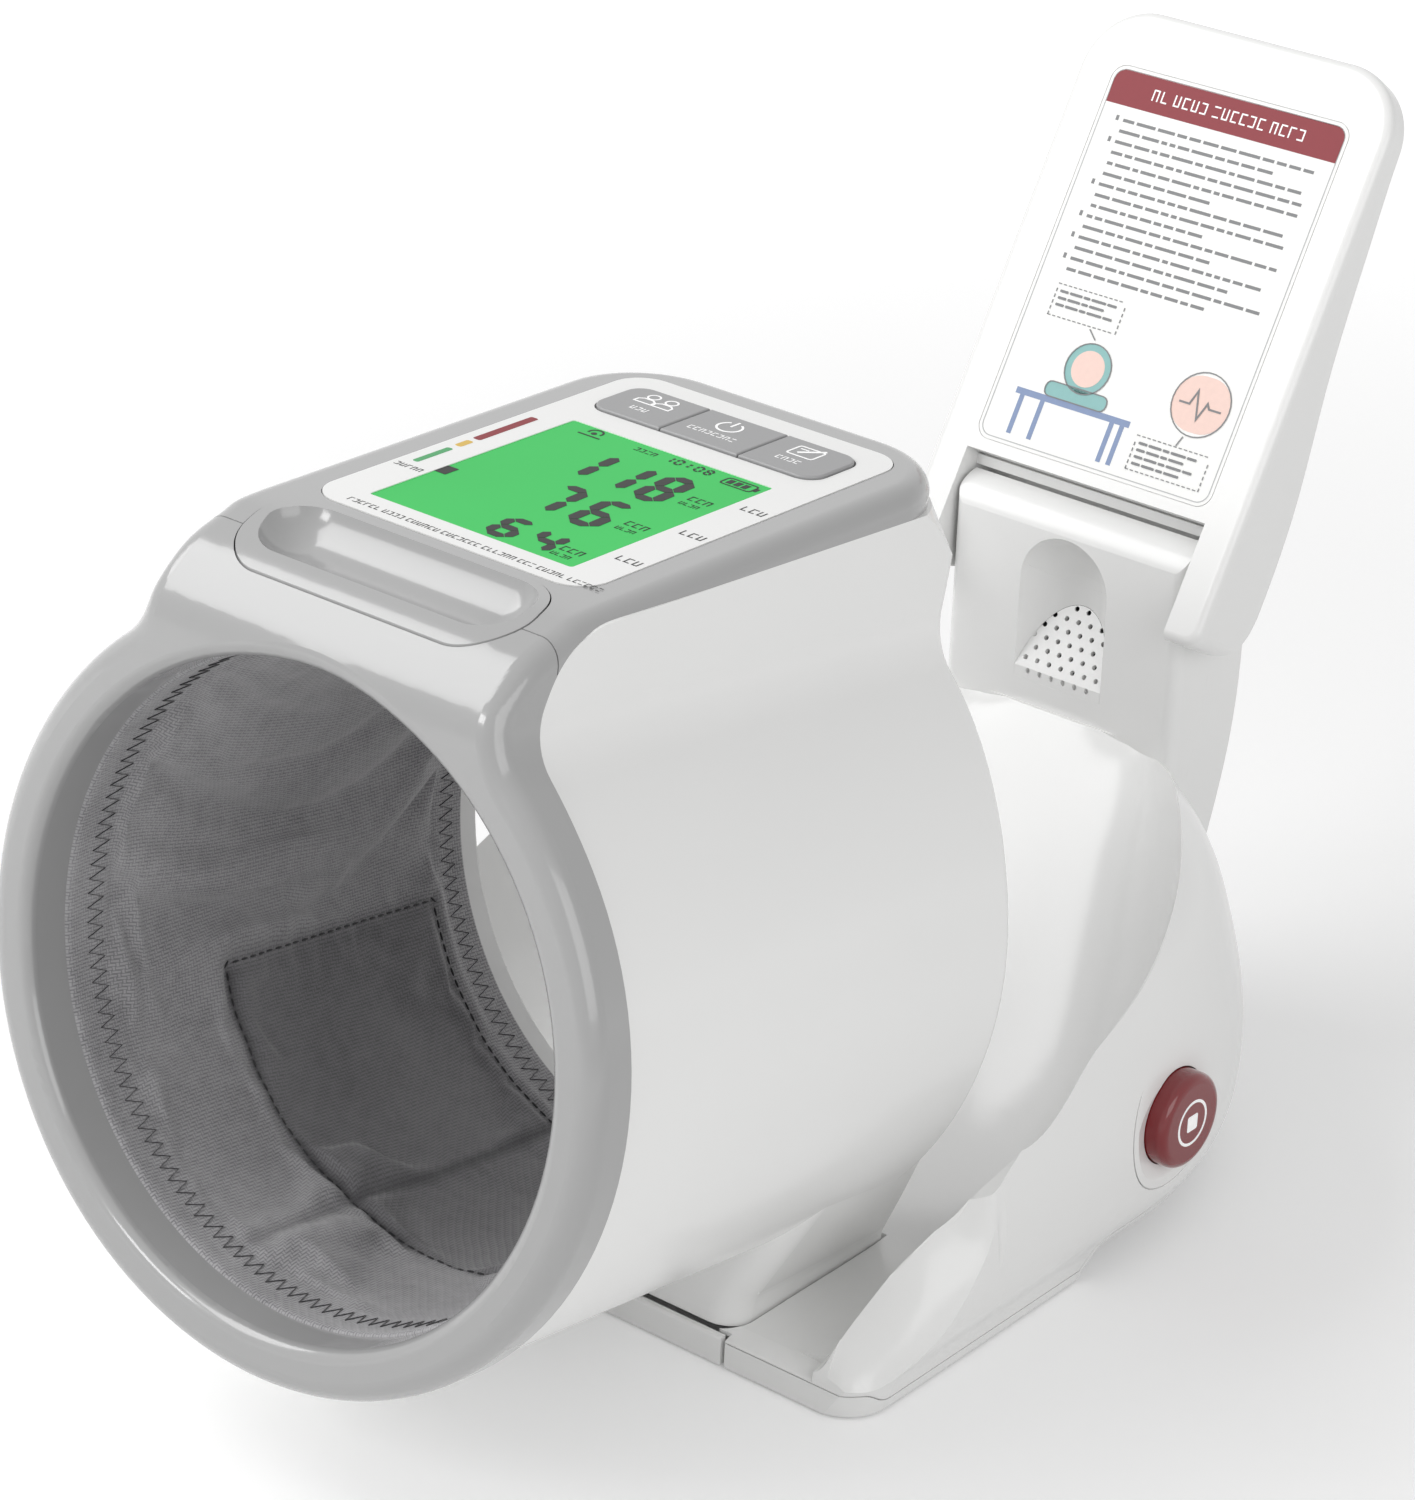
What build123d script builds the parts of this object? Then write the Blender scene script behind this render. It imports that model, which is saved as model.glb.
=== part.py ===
from build123d import *
import math
import os

os.makedirs("parts", exist_ok=True)

# ---------------------------------------------------------------- driving dimensions (mm, +X right, +Y back, +Z up)
# Everything is drawn about the middle of the rounded base; save() then moves the origin to the flat foot.
ORIGIN_Y = -40.0         # the shipped origin lies on the table at this Y of the drawing

# Tunnel (the tilting barrel that the arm goes into)
RING_Y = -180.0          # front of the ring
BARREL_R = 82.6          # outer radius of the white shell
RING_R = BARREL_R + 1.4  # outer radius of the grey ring
LIP_R = BARREL_R - 10.2  # radius of the arm opening
AXIS_Z = BARREL_R + 29.4  # height of the tunnel axis at the ring
TILT = 8.0               # degrees, the front of the tunnel points up at rest
BARREL_END = 143.5       # distance from ring front to the rear of the white shell
BARREL_TAIL = 8.0        # the shell reaches this much further back under the display
RING_DEPTH = 11.5        # depth of the grey ring below the neck
WALL = 2.4               # moulded wall of the shells
GAP = 0.3                # clearance between bodies that move against each other

DRUM_OUT = BARREL_R - 3.8  # outer radius of the drum that carries the cuff
DRUM_T = 2.2
DRUM_FROM = 9.2          # its front end, from the ring front
RIM_LAP = 3.5            # the rear rim's sleeve reaches this far into the shell
BLADDER_T = 2.6
LINER_T = 3.0            # padded fabric

# Head on top of the tunnel
HEAD_W = 48.0            # half width of the head and of the neck under it
HEAD_EDGE = 5.0          # rounding of the ring's and the head's outer edges
NECK_R = 16.0            # hollow radius where neck meets barrel
PANEL_SLOPE = 6.0        # degrees, the display rises away from the user against the tunnel axis
PANEL_MID = 76.4         # distance from ring front to the middle of the display
PANEL_H = BARREL_R + 16.0  # height of the display face over the axis at its middle
BEZEL_T = 6.0            # depth of the room for the boards under the display face
BEZEL_END = 153.0        # rear edge of the bezel, from the ring front
BEZEL_CORNER = 23.0      # rounding of its rear corners
SEAM_TOP = 17.5          # seam between ring and bezel, from the ring front
HEAD_SEAM = 0.3          # shadow gap of that seam
PLATE_W = 37.6           # half width of the white panel
PLATE_FROM = 35.5        # near edge of the white panel
PLATE_TO = 143.0         # far edge of the white panel
PLATE_T = 1.8            # thickness of the white panel
LCD_W = 27.6             # half width of the visible display
LCD_FROM = 43.8          # near edge of the display
LCD_TO = 109.2           # far edge of the display
KEYS_FROM = 117.4        # near edge of the key strip
KEYS_TO = 136.0          # far edge of the key strip
KEYS_W = 31.5            # half width of the key strip
KEY_SPLIT = 10.8         # distance of the two key divisions from the middle
KEY_GAP = 0.4            # gap round each key
KEY_PROUD = 0.9          # keys stand this far over the panel
KEY_TRAVEL = 0.8         # press of a key
GRIP_MID = 20.8          # middle of the lozenge finger grip, from the ring front
GRIP_L = 76.0            # length of the lozenge
GRIP_WIDE = 24.8         # width of the lozenge
GRIP_BOTTOM = BARREL_R + 0.4  # underside of the lozenge over the axis
SCOOP_R = 11.0           # radius of the scoop in the lozenge
SCOOP_DEEP = 5.6         # its depth

# Base
FOOT_LIFT = 0.6          # the rubber feet hold the shell this far over the table
BASE_W = 82.0            # half width of the base on the table
BASE_FRONT = -84.5       # front edge of the base
FOOT_END = 0.0           # the underside steps up here
STEP_UP = 8.5            # height of the stepped rear underside
DOME_Y = 20.0            # centre of the rounded rear of the base
SPLIT_Z = 3.6            # seam of the two shells over the underside
SPLIT_FRONT = 7.0        # height of the seam on the front face
SEAM_GAP = 0.35          # shadow line along the seam
SEAM_DEEP = 0.8
LIP_BACK = 6.2           # the front edge rounds over this far into the floor of the channel
LIP_W = 70.0             # half width of that rounded edge
FLOOR_Z = 8.5            # floor of the channel under the tunnel
PIVOT_Y = -50.0          # tilt pivot
PIVOT_Z = 14.5
PIVOT_R = 3.0            # tilt pin radius
RUN = 0.05               # running clearance of pins
NECK_W = 45.5            # half width of the pedestal under the tunnel
NECK_WALL = 4.0
SKIRT_SINK = 0.5         # the sides run this far into the shell
KNEE_BEND = 4.0          # how far from the corner the pedestal's sides begin to lean out
NECK_FRONT = -82.0       # front face of the pedestal
NECK_BACK = -28.0
POST_T = 3.6             # thickness of the posts that hold the tilt pins
POST_R = 4.3             # round top of the posts
SLOT = 0.6               # clearance of the slot round the pedestal
SWING = 1.2              # the pedestal's foot swings this far along Y when the tunnel tilts
COVER_W = 44.3           # half width of the front service cover
COVER_GAP = 1.2          # slit beside the cover
COVER_BACK = -78.0       # rear edge of the service cover's tongue
CORNER_R = 11.0          # rounding of the base's two front corners
FOOT_R = 7.0             # rubber feet
FOOT_T = 1.8
FOOT_PLACES = ((56, -72), (66, -34))
MIDDLE_FOOT = (0, ORIGIN_Y)  # the fifth foot stands on the origin
DOOR_W = 30.0            # half width of the battery door
DOOR_Y = 35.0            # front edge of the battery door
DOOR_T = 1.4
BOARD_Z = 14.0           # underside of the power board
INLET_R = 5.5            # power inlet on the left flank
INLET_Y = 34.0
INLET_Z = 26.0
CELL_R = 7.1             # AA cells
CELL_L = 50.5
CELL_X = 15.0            # pitch of the cells
CELL_Z = 19.4
CELL_FROM = DOOR_Y + 3.5
BOARD_IN = 12.0          # outer end of the power board, in from the foot's edge
BOARD_L = 34.0           # length of the power board along X
FLOOR_IN = STEP_UP + FOOT_LIFT + WALL

# Stop button on the right wing
STOP_Y = 21.0
STOP_Z = 38.0
STOP_R = 11.6
COLLAR_R = 18.0
STOP_FACE = 95.6         # outermost face of the button
STOP_TRAVEL = 2.0
STOP_BACK = 86.2         # inner face of the button's flange
STOP_LIP = 1.2           # thickness of the flange that holds the button in
SWITCH_X = 77.6          # inner face of the switch behind it
SWITCH_T = 5.0
PLUNGER = 0.6

# Column and lid
COL_W = 34.0             # half width of the column
HINGE_Y = 104.0          # lid hinge axis
HINGE_Z = 128.0
HINGE_R = 9.5            # round top of the column
COL_CREASE = 3.5         # the column's front face meets its round top this high over the axis
COL_FRONT = HINGE_Y - (HINGE_R ** 2 - COL_CREASE ** 2) ** 0.5  # front face of the column
POCKET_R = 13.2          # radius of the finger scoop in the column
POCKET_OUT = 3.3         # its centre line stands this far in front of the face
POCKET_Z = 118.0         # centre of its round top
LEAN = 31.0              # degrees the open lid leans back
LID_W = 44.5             # half width of the lid
LID_TOP = 127.0          # from hinge axis to the top of the lid
LID_FACE = 11.0          # hinge axis to the front face of the lid
LEG_IN = 35.0            # inner side of the lid's two legs
LEG_END = 17.0           # legs reach this far under the axis
FRAME_T = 4.0            # thickness of the lid's front frame
CARD_FROM = 15.0         # lower edge of the card, from the axis
CARD_L = 97.6
CARD_W = 34.3            # half width of the card
CARD_T = 0.5
PIN_R = 3.5


# ---------------------------------------------------------------- helpers
def loop(*edges):
    """A face bounded by edges that follow one another."""
    return Face(Wire([edge for item in edges for edge in item.edges()]))


def across_x(face, half):
    """A face drawn as (y, z), swept from -half to +half along X."""
    return Pos(-half, 0, 0) * extrude(Plane.YZ * face, amount=2 * half, dir=(1, 0, 0))


def along_y(face, y0, y1):
    """A face drawn as (x, z), swept from y0 to y1."""
    return Pos(0, y1, 0) * extrude(Plane.XZ * face, amount=y1 - y0)


def block(x0, x1, y0, y1, z0, z1):
    size = (x1 - x0, y1 - y0, z1 - z0)
    return Pos((x0 + x1) / 2, (y0 + y1) / 2, (z0 + z1) / 2) * Box(*size)


def rod(axis, radius, a, b, at):
    """A cylinder along X, Y or Z from a to b; at gives the other two coordinates."""
    middle = (a + b) / 2
    if axis == "X":
        return Pos(middle, at[0], at[1]) * Rot(0, 90, 0) * Cylinder(radius, b - a)
    if axis == "Y":
        return Pos(at[0], middle, at[1]) * Rot(90, 0, 0) * Cylinder(radius, b - a)
    return Pos(at[0], at[1], middle) * Cylinder(radius, b - a)


def poly(*points):
    return loop(Polyline(*points, close=True))


def slab(half_w, y0, y1, z0, z1, radius):
    """A plate with rounded plan corners."""
    plan = RectangleRounded(2 * half_w, y1 - y0, radius)
    return Pos(0, (y0 + y1) / 2, z0) * extrude(plan, amount=z1 - z0)


def both_sides(piece):
    return [piece, mirror(piece, about=Plane.YZ)]


def save(name, shape):
    pieces = shape if isinstance(shape, list) else [shape]
    solids = [Pos(0, -ORIGIN_Y, 0) * solid for piece in pieces for solid in piece.solids()]
    export_step(solids[0] if len(solids) == 1 else Compound(children=solids), "parts/" + name + ".step")


# the tunnel is drawn with its axis along +Y from the ring front, then placed
TUNNEL = Location((0, RING_Y, AXIS_Z), (-TILT, 0, 0))
# the display face: origin at its middle, drawn flat, then sloped and placed
FACE = TUNNEL * Location((0, PANEL_MID, PANEL_H), (PANEL_SLOPE, 0, 0))
FACE_IN_TUNNEL = Location((0, PANEL_MID, PANEL_H), (PANEL_SLOPE, 0, 0))
TUNNEL_FACE_INVERSE = FACE_IN_TUNNEL.inverse()
# the lid: origin on the hinge axis, +Z up the lid, +Y through its thickness
LID = Location((0, HINGE_Y, HINGE_Z), (-LEAN, 0, 0))


# ---------------------------------------------------------------- tunnel
def section(radius, half_w, hollow):
    """Round barrel with the head's neck on top, as (x, z)."""
    neck = Pos(0, 80) * Rectangle(2 * half_w, 80)
    whole = Circle(radius) + neck
    corners = [v for v in whole.vertices() if abs(v.Y) < 80 and v.Y > 0]
    return fillet(corners, hollow)


def head_side(inset):
    """Side view of ring and head: level at the panel, rolling down to the ring's flat front."""
    top = BARREL_R - inset
    slope = math.tan(math.radians(PANEL_SLOPE))
    level = (34, PANEL_H - inset - (PANEL_MID - 34) * slope)
    end = (BEZEL_END + 10, PANEL_H - inset + (BEZEL_END + 10 - PANEL_MID) * slope)
    roll = Spline(
        (inset, top - 14), (1.2 + inset, top - 6.0), (5.4 + inset, top - 0.4), (11.5, top + 4.6), (20, top + 8.4), level,
        tangents=((0, 1), (1, slope)))
    rest = Polyline(level, end, (end[0], -120), (inset, -120), (inset, top - 14))
    return across_x(loop(roll, rest), 150)


def grey_side(front, shift=0.0):
    """Grey (front and top) or white side of the seam that runs up behind the ring and back under the bezel."""
    low = (RING_DEPTH + shift, 50)
    back = (BEZEL_END + 20, BARREL_R + 17.0)
    curve = Spline(
        low, (13.3 + shift, BARREL_R - 11.6), (16.0 + shift, BARREL_R - 2.6), (20.6 + shift, BARREL_R + 4.2),
        (27.0 + shift, BARREL_R + 7.8), (36.5, BARREL_R + 9.4), tangents=((0, 1), (1, 0.058)))
    if front:
        rest = Polyline((36.5, BARREL_R + 9.4), back, (back[0], 150), (-60, 150), (-60, -120), (low[0], -120), low)
    else:
        rest = Polyline((36.5, BARREL_R + 9.4), back, (back[0], -120), (low[0], -120), low)
    return across_x(loop(curve, rest), 150)


def outline_edges(body, skins):
    """Edges that bound the given faces together, without those between two of them."""
    found = {}
    for face in skins:
        for edge in face.edges():
            middle = edge.position_at(0.5)
            found.setdefault((round(middle.X, 2), round(middle.Y, 2), round(middle.Z, 2)), []).append(edge)
    return [edges[0] for edges in found.values() if len(edges) == 1]


def head_block(inset):
    """Ring and head in one, before they are parted."""
    body = along_y(section(RING_R - inset, HEAD_W - inset, NECK_R), -5, BEZEL_END - inset) & head_side(inset)
    radius = BEZEL_CORNER - inset
    x = HEAD_W - BEZEL_CORNER
    y = BEZEL_END - BEZEL_CORNER
    corner = block(x, x + 60, y, y + 60, -150, 150) - rod("Z", radius, -200, 200, (x, y))
    for side in both_sides(corner):
        body = body - side
    return body


def grey_head():
    body = head_block(0)
    skins = [f for f in body.faces() if f.normal_at().Y < -0.05 and abs(f.normal_at().X) < 0.01]
    return fillet(outline_edges(body, skins), HEAD_EDGE)


def grip_outline(grow, z0, z1):
    """Lozenge footprint cut down through the head's top."""
    plan = SlotOverall(GRIP_L + 2 * grow, GRIP_WIDE + 2 * grow)
    return Pos(0, GRIP_MID, z0) * extrude(plan, amount=z1 - z0)


def front_ring():
    body = grey_head() & grey_side(True) & block(-200, 200, -20, SEAM_TOP, -120, 150)
    body = body - rod("Y", LIP_R, -1, 40, (0, 0))
    inner = [e for e in body.edges().filter_by(GeomType.CIRCLE) if abs(e.radius - LIP_R) < 0.01]
    body = fillet([min(inner, key=lambda e: e.center().Y)], 3.0)
    # hollow behind, so that the ring is a moulding with a back rim
    pocket = head_block(3.0) & block(-200, 200, 6.0, 60, -120, 150)
    pocket = pocket - rod("Y", LIP_R + 2.4, -1, 70, (0, 0))
    body = body - pocket - rod("Y", DRUM_OUT, RING_DEPTH, 60, (0, 0))
    return body - grip_outline(GAP, GRIP_BOTTOM - GAP, 150)


def scoop():
    """Long round-ended hollow for the fingers."""
    high = GRIP_BOTTOM + 8.2 - SCOOP_DEEP + SCOOP_R
    half = GRIP_L / 2 - SCOOP_R - 2.0
    long = Pos(0, GRIP_MID, high) * Rot(0, 90, 0) * Cylinder(SCOOP_R, 2 * half)
    return long + Pos(-half, GRIP_MID, high) * Sphere(SCOOP_R) + Pos(half, GRIP_MID, high) * Sphere(SCOOP_R)


def grip_inset():
    body = grip_outline(0, GRIP_BOTTOM, 150) & head_side(-0.2)
    return body - scoop()


def shell_side(inset):
    """Side view of the white shell's rear end, which leans back towards the display."""
    low = (BARREL_END - inset, 15)
    top = (BARREL_END + BARREL_TAIL - inset, BARREL_R + 8)
    curve = Spline(low, top, tangents=((0, 1), (0.03, 1)))
    rest = Polyline(top, (top[0], 150), (-60, 150), (-60, -120), (low[0], -120), low)
    return across_x(loop(curve, rest), 150)


def shell_corner(inset):
    """Cut at the neck's rear right corner: round under the bezel, flaring out to a square corner lower down."""
    x = HEAD_W - BEZEL_CORNER
    y = BEZEL_END - BEZEL_CORNER
    round_r = BEZEL_CORNER - inset
    low = BARREL_R - 3.0
    flare = Pos(x, y, low + 10) * Cone(round_r + 11.0, round_r, 20)
    return block(x, x + 40, y, y + 40, low, 150) - flare - rod("Z", round_r, low + 19, 151, (x, y))


def barrel_shell():
    outer = along_y(section(BARREL_R, HEAD_W, NECK_R), 0, 190) & shell_side(0)
    skins = [f for f in outer.faces() if f.normal_at().Y > 0.5]
    outer = fillet(outline_edges(outer, skins), 3.0)
    outer = outer & grey_side(False)
    hollow = along_y(section(BARREL_R - WALL, HEAD_W - WALL, NECK_R), -10, 190) & shell_side(WALL)
    for cut, inner_cut in zip(both_sides(shell_corner(0)), both_sides(shell_corner(WALL))):
        outer = outer - cut
        hollow = hollow - inner_cut
    body = outer - hollow
    body = body - rod("Y", DRUM_OUT, -1, 200, (0, 0))
    return (TUNNEL * body) + pedestal()


def skirt(half_w, low, sink):
    """Solid under the barrel whose sides rise straight out of the base, then run on to the barrel's round side."""
    faces = []
    for y, knee in ((NECK_FRONT, FLOOR_Z + 4.8), (NECK_BACK, FLOOR_Z + 1.2)):
        axis = AXIS_Z - (y - RING_Y) * math.tan(math.radians(TILT))
        reach = math.hypot(half_w, axis - knee)
        turn = math.acos((BARREL_R - sink) / reach) - math.atan2(axis - knee, half_w)
        touch = ((BARREL_R - sink) * math.cos(turn), axis + (BARREL_R - sink) * math.sin(turn))
        along = (-math.sin(turn), math.cos(turn))
        upright = (half_w, knee - KNEE_BEND)
        slanted = (half_w + KNEE_BEND * along[0], knee + KNEE_BEND * along[1])
        right = TangentArc(upright, slanted, tangent=(0, 1))
        left = TangentArc((-upright[0], upright[1]), (-slanted[0], slanted[1]), tangent=(0, 1))
        over = Polyline(slanted, touch, (0, axis), (-touch[0], touch[1]), (-slanted[0], slanted[1]))
        under = Polyline((-half_w, knee - KNEE_BEND), (-half_w, low), (half_w, low), upright)
        faces.append(Pos(0, y, 0) * (Plane.XZ * loop(right, over, left, under)))
    return loft(faces, ruled=True)


def pedestal():
    """Hollow foot under the barrel that reaches into the base."""
    solid = skirt(NECK_W, 4.0, SKIRT_SINK)
    front = [e for e in solid.edges() if e.center().Y < NECK_FRONT + 1 and e.center().Z < 60 and abs(e.center().X) > NECK_W - 1]
    solid = fillet(front, 7.0)
    under = poly((-200, -50), (0, -50), (0, 5.4), (PIVOT_Y, 5.4), (NECK_FRONT, 8.4), (-200, 8.4))
    behind = poly((NECK_BACK, -50), (NECK_BACK, FLOOR_Z), (NECK_BACK - 20, FLOOR_Z + 44), (NECK_BACK - 20, 150), (50, 150), (50, -50))
    solid = solid - across_x(under, 150) - across_x(behind, 150)
    hollow = skirt(NECK_W - NECK_WALL, -5.0, NECK_WALL) & block(-200, 200, NECK_FRONT + NECK_WALL, 50, -20, 150)
    solid = solid - hollow
    solid = solid - (TUNNEL * rod("Y", BARREL_R - WALL / 2, -20, 300, (0, 0)))
    bores = both_sides(rod("X", PIVOT_R + RUN, NECK_W - NECK_WALL - 1, NECK_W - 1.3, (PIVOT_Y, PIVOT_Z)))
    return solid - bores[0] - bores[1]


def tube(outer, inner, y0, y1):
    return rod("Y", outer, y0, y1, (0, 0)) - rod("Y", inner, y0 - 1, y1 + 1, (0, 0))


def rear_rim():
    ring = tube(BARREL_R - 4.5, LIP_R, BARREL_END, BARREL_END + 2.6)
    ring = fillet(ring.edges().group_by(Axis.Y)[-1], 1.2)
    sleeve = tube(LIP_R + 1.6, LIP_R, BARREL_END - RIM_LAP, BARREL_END + 0.5)
    return ring + sleeve


def panel_slab(grow, z0, z1, radius):
    """A plate over the panel's footprint, in the frame of the display face."""
    return slab(PLATE_W + grow, PLATE_FROM - PANEL_MID - grow, PLATE_TO - PANEL_MID + grow, z0, z1, radius)


def display_bezel():
    body = TUNNEL_FACE_INVERSE * (grey_head() & grey_side(True) & block(-200, 200, SEAM_TOP + HEAD_SEAM, 300, 50, 150))
    room = slab(HEAD_W - 3.2, SEAM_TOP + 14 - PANEL_MID, BEZEL_END - 3.2 - PANEL_MID, -30, -BEZEL_T, BEZEL_CORNER - 3)
    body = body - room
    for x, y in board_screw_places():
        body = body + Pos(x, y, -BEZEL_T / 2 - 1.0) * Cylinder(2.6, BEZEL_T - 2.0)
    body = body - panel_slab(0.15, -PLATE_T, 9, 8) - panel_slab(-3, -20, 9, 6)
    return (FACE_IN_TUNNEL * body) - grip_outline(GAP, GRIP_BOTTOM - GAP, 150)


def panel_plate():
    body = slab(PLATE_W, PLATE_FROM - PANEL_MID, PLATE_TO - PANEL_MID, -PLATE_T, 0.2, 8)
    window = slab(LCD_W, LCD_FROM - PANEL_MID, LCD_TO - PANEL_MID, -5, 5, 0.8)
    keys = slab(KEYS_W, KEYS_FROM - PANEL_MID, KEYS_TO - PANEL_MID, -5, 5, 5)
    return body - window - keys


def key(x0, x1, outer):
    """One key of the strip; outer is -1 or 1 for the rounded end keys, 0 for the middle one."""
    strip = slab(KEYS_W - KEY_GAP, KEYS_FROM - PANEL_MID + KEY_GAP, KEYS_TO - PANEL_MID - KEY_GAP, -2.6, KEY_PROUD, 4.6)
    left = -100 if outer < 0 else x0 + KEY_GAP / 2
    right = 100 if outer > 0 else x1 - KEY_GAP / 2
    cap = strip & block(left, right, -100, 100, -10, 10)
    cap = fillet(cap.edges().group_by(Axis.Z)[-1], 0.5)
    middle = (max(x0, -KEYS_W) + min(x1, KEYS_W)) / 2
    stem = Pos(middle, (KEYS_FROM + KEYS_TO) / 2 - PANEL_MID, -3.1) * Box(5, 5, 1.2)
    return cap + stem


# ---------------------------------------------------------------- base
FLANK = ((0, 0), (2.5, 8.5), (6.5, 15), (9.5, 26), (8.7, 47), (4.3, 65), (-1.5, 79.5), (-9.7, 92), (-20, 100))
BULGE = 8.0              # the flanks stand out about this far over the foot


def flank():
    """Right outline of the base's cross-section from the table up, as (x, z)."""
    return Spline(*[(BASE_W + x, z) for x, z in FLANK], tangents=((0.25, 1), (-1, 0.6)))


def outer_body(inset):
    """The closed outside form of the base; inset shrinks it for the inside of the walls."""
    edge = flank()
    top = (BASE_W + FLANK[-1][0], FLANK[-1][1])
    half = loop(edge, Polyline(top, (0, top[1]), (0, 0), (BASE_W, 0)))
    corner_x = BASE_W - CORNER_R
    corner_y = BASE_FRONT + CORNER_R
    outside = (Pos(-corner_x, 0) * half) & (Pos(50, 50) * Rectangle(100, 100))
    corner = Pos(corner_x, corner_y, 0) * revolve(Plane.XZ * outside, Axis.Z, 360)
    straight = along_y(half, corner_y, DOME_Y) + block(0, corner_x, BASE_FRONT, corner_y, 0, 100)
    straight = straight + (corner & block(corner_x, 200, BASE_FRONT, corner_y, 0, 200))
    straight = straight + mirror(straight, about=Plane.YZ)
    turned = Pos(0, DOME_Y, 0) * revolve(Plane.XZ * half, Axis.Z, 180)
    whole = straight + turned
    if inset > 0:
        kx = 1 - inset / (BASE_W + BULGE)
        whole = Pos(0, DOME_Y, 0) * scale(Pos(0, -DOME_Y, 0) * whole, by=(kx, kx, 1))
        front = block(-200, 200, BASE_FRONT - 20, BASE_FRONT + inset, -10, 300)
        whole = whole - front
    return whole


NOSE = (
    # y, half width and height of the wing's ridge, then a point of its outer side and the ridge's foot
    (-92, 73.0, 8.0, 78.0, 7.6, 80.0, 7.0),
    (-84.5, 74.0, 9.5, 78.5, 8.6, 81.0, 7.4),
    (-80, 73.6, 17.0, 79.6, 12.6, 82.8, 8.0),
    (-76, 74.2, 21.2, 82.4, 15.4, 85.2, 9.0),
    (-70, 76.6, 28.0, 86.4, 19.4, 88.4, 11.0),
    (-62, 80.8, 36.2, 90.2, 24.2, 91.6, 14.0),
    (-52, 85.6, 45.2, 93.6, 30.0, 94.2, 18.0),
    (-40, 89.6, 52.6, 95.8, 38.0, 96.4, 24.0),
)


def nose_cut():
    """What is taken off outside the front of the right wing, so that it leans in to its ridge."""
    faces = []
    for y, x, z, x1, z1, x2, z2 in NOSE:
        side = Spline((x, z), (x1, z1), (x2, z2))
        rest = Polyline((x2, z2), (130, z2), (130, 110), (x, 110), (x, z))
        faces.append(Pos(0, y, 0) * (Plane.XZ * loop(side, rest)))
    return loft(faces, ruled=False)


def crest(drop):
    """Side view of the base's upper edge, as (y, z); drop lowers it for the inside."""
    nose = Spline(
        (BASE_FRONT, 8.5 - drop), (-80, 17.5 - drop), (-70, 28.4 - drop), (-52, 45.4 - drop),
        tangents=((0.1, 1), (1, 0.8)))
    rise = Spline(
        (-52, 45.4 - drop), (-38, 53.6 - drop), (-13, 63 - drop), (14.7, 72.3 - drop), (34.4, 82.5 - drop),
        (54, 89.6 - drop), (70, 92 - drop), tangents=((1, 0.8), (1, 0)))
    fall = Spline((70, 92 - drop), (80, 89.8 - drop), (100, 84 - drop), tangents=((1, 0), (1, -0.15)))
    rest = Polyline((100, 84 - drop), (115, 83 - drop), (115, -5), (BASE_FRONT, -5), (BASE_FRONT, 8.5 - drop))
    return across_x(loop(nose, rise, fall, rest), 150)


def underside(lift):
    """Everything above the stepped underside, raised by lift."""
    return across_x(poly(
        (-200, lift), (FOOT_END - 1.5, lift), (FOOT_END + 4.5, STEP_UP + lift), (200, STEP_UP + lift), (200, 300),
        (-200, 300)), 150)


BOWL = (
    # y, half width of the flat floor, floor height, how far the crest stands out past the foot, crest height
    (-100, 62, 8.5, -8.0, 12),
    (-80, 60, 8.5, -8.4, 17.5),
    (-66, 56, 8.5, -3.4, 32.4),
    (-52, 53, 8.5, 3.6, 45.4),
    (-36, 49, 8.5, 7.6, 54.6),
    (-10, 44, 11.5, 4.8, 64),
    (18, 37, 22.0, 0.8, 73.8),
    (42, 29, 39.0, -8.6, 86.0),
    (66, 20, 60.0, -26.5, 92.0),
    (82, 13, 74.5, -41.5, 89.4),
    (COL_FRONT - 0.8, 7, 86.0, -54.0, 87.0),
)


def bowl(grow):
    """The channel under the tunnel that rises into the elbow bowl; grow thickens it for the inside."""
    faces = []
    for y, flat, floor, over, high in BOWL:
        floor = floor - grow
        wide = BASE_W + over + 0.7 * grow
        ends = ((-wide, high), (-flat, floor), (flat, floor), (wide, high))
        left = Spline(ends[0], ends[1], tangents=((0.15, -1), (1, 0)))
        right = Spline(ends[2], ends[3], tangents=((1, 0), (0.15, 1)))
        lid = Polyline((wide, high), (wide + 9, 190), (-wide - 9, 190), (-wide, high))
        bottom = Line(ends[1], ends[2])
        faces.append(Pos(0, y, 0) * (Plane.XZ * loop(left, bottom, right, lid)))
    return loft(faces, ruled=False)


def column_side():
    """Side view of the column without its rear cover, as (y, z)."""
    slant = 0.7071 * HINGE_R
    top = ThreePointArc(
        (COL_FRONT, HINGE_Z + COL_CREASE), (HINGE_Y - slant, HINGE_Z + slant), (HINGE_Y, HINGE_Z + HINGE_R))
    split = Spline((HINGE_Y + 2, HINGE_Z + 4), (110, 104), (104, 76), (100, 50), tangents=((0.8, -1), (0, -1)))
    return top, split


def column_front():
    top, split = column_side()
    ridge = Line((HINGE_Y, HINGE_Z + HINGE_R), (HINGE_Y + 2, HINGE_Z + 4))
    rest = Polyline((100, 50), (COL_FRONT, 50), (COL_FRONT, HINGE_Z + COL_CREASE))
    body = across_x(loop(top, ridge, split, rest), COL_W)
    front = [e for e in body.edges().filter_by(Axis.Z) if e.center().Y < COL_FRONT + 1 and e.length > 20]
    return fillet(front, 3.0)


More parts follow.
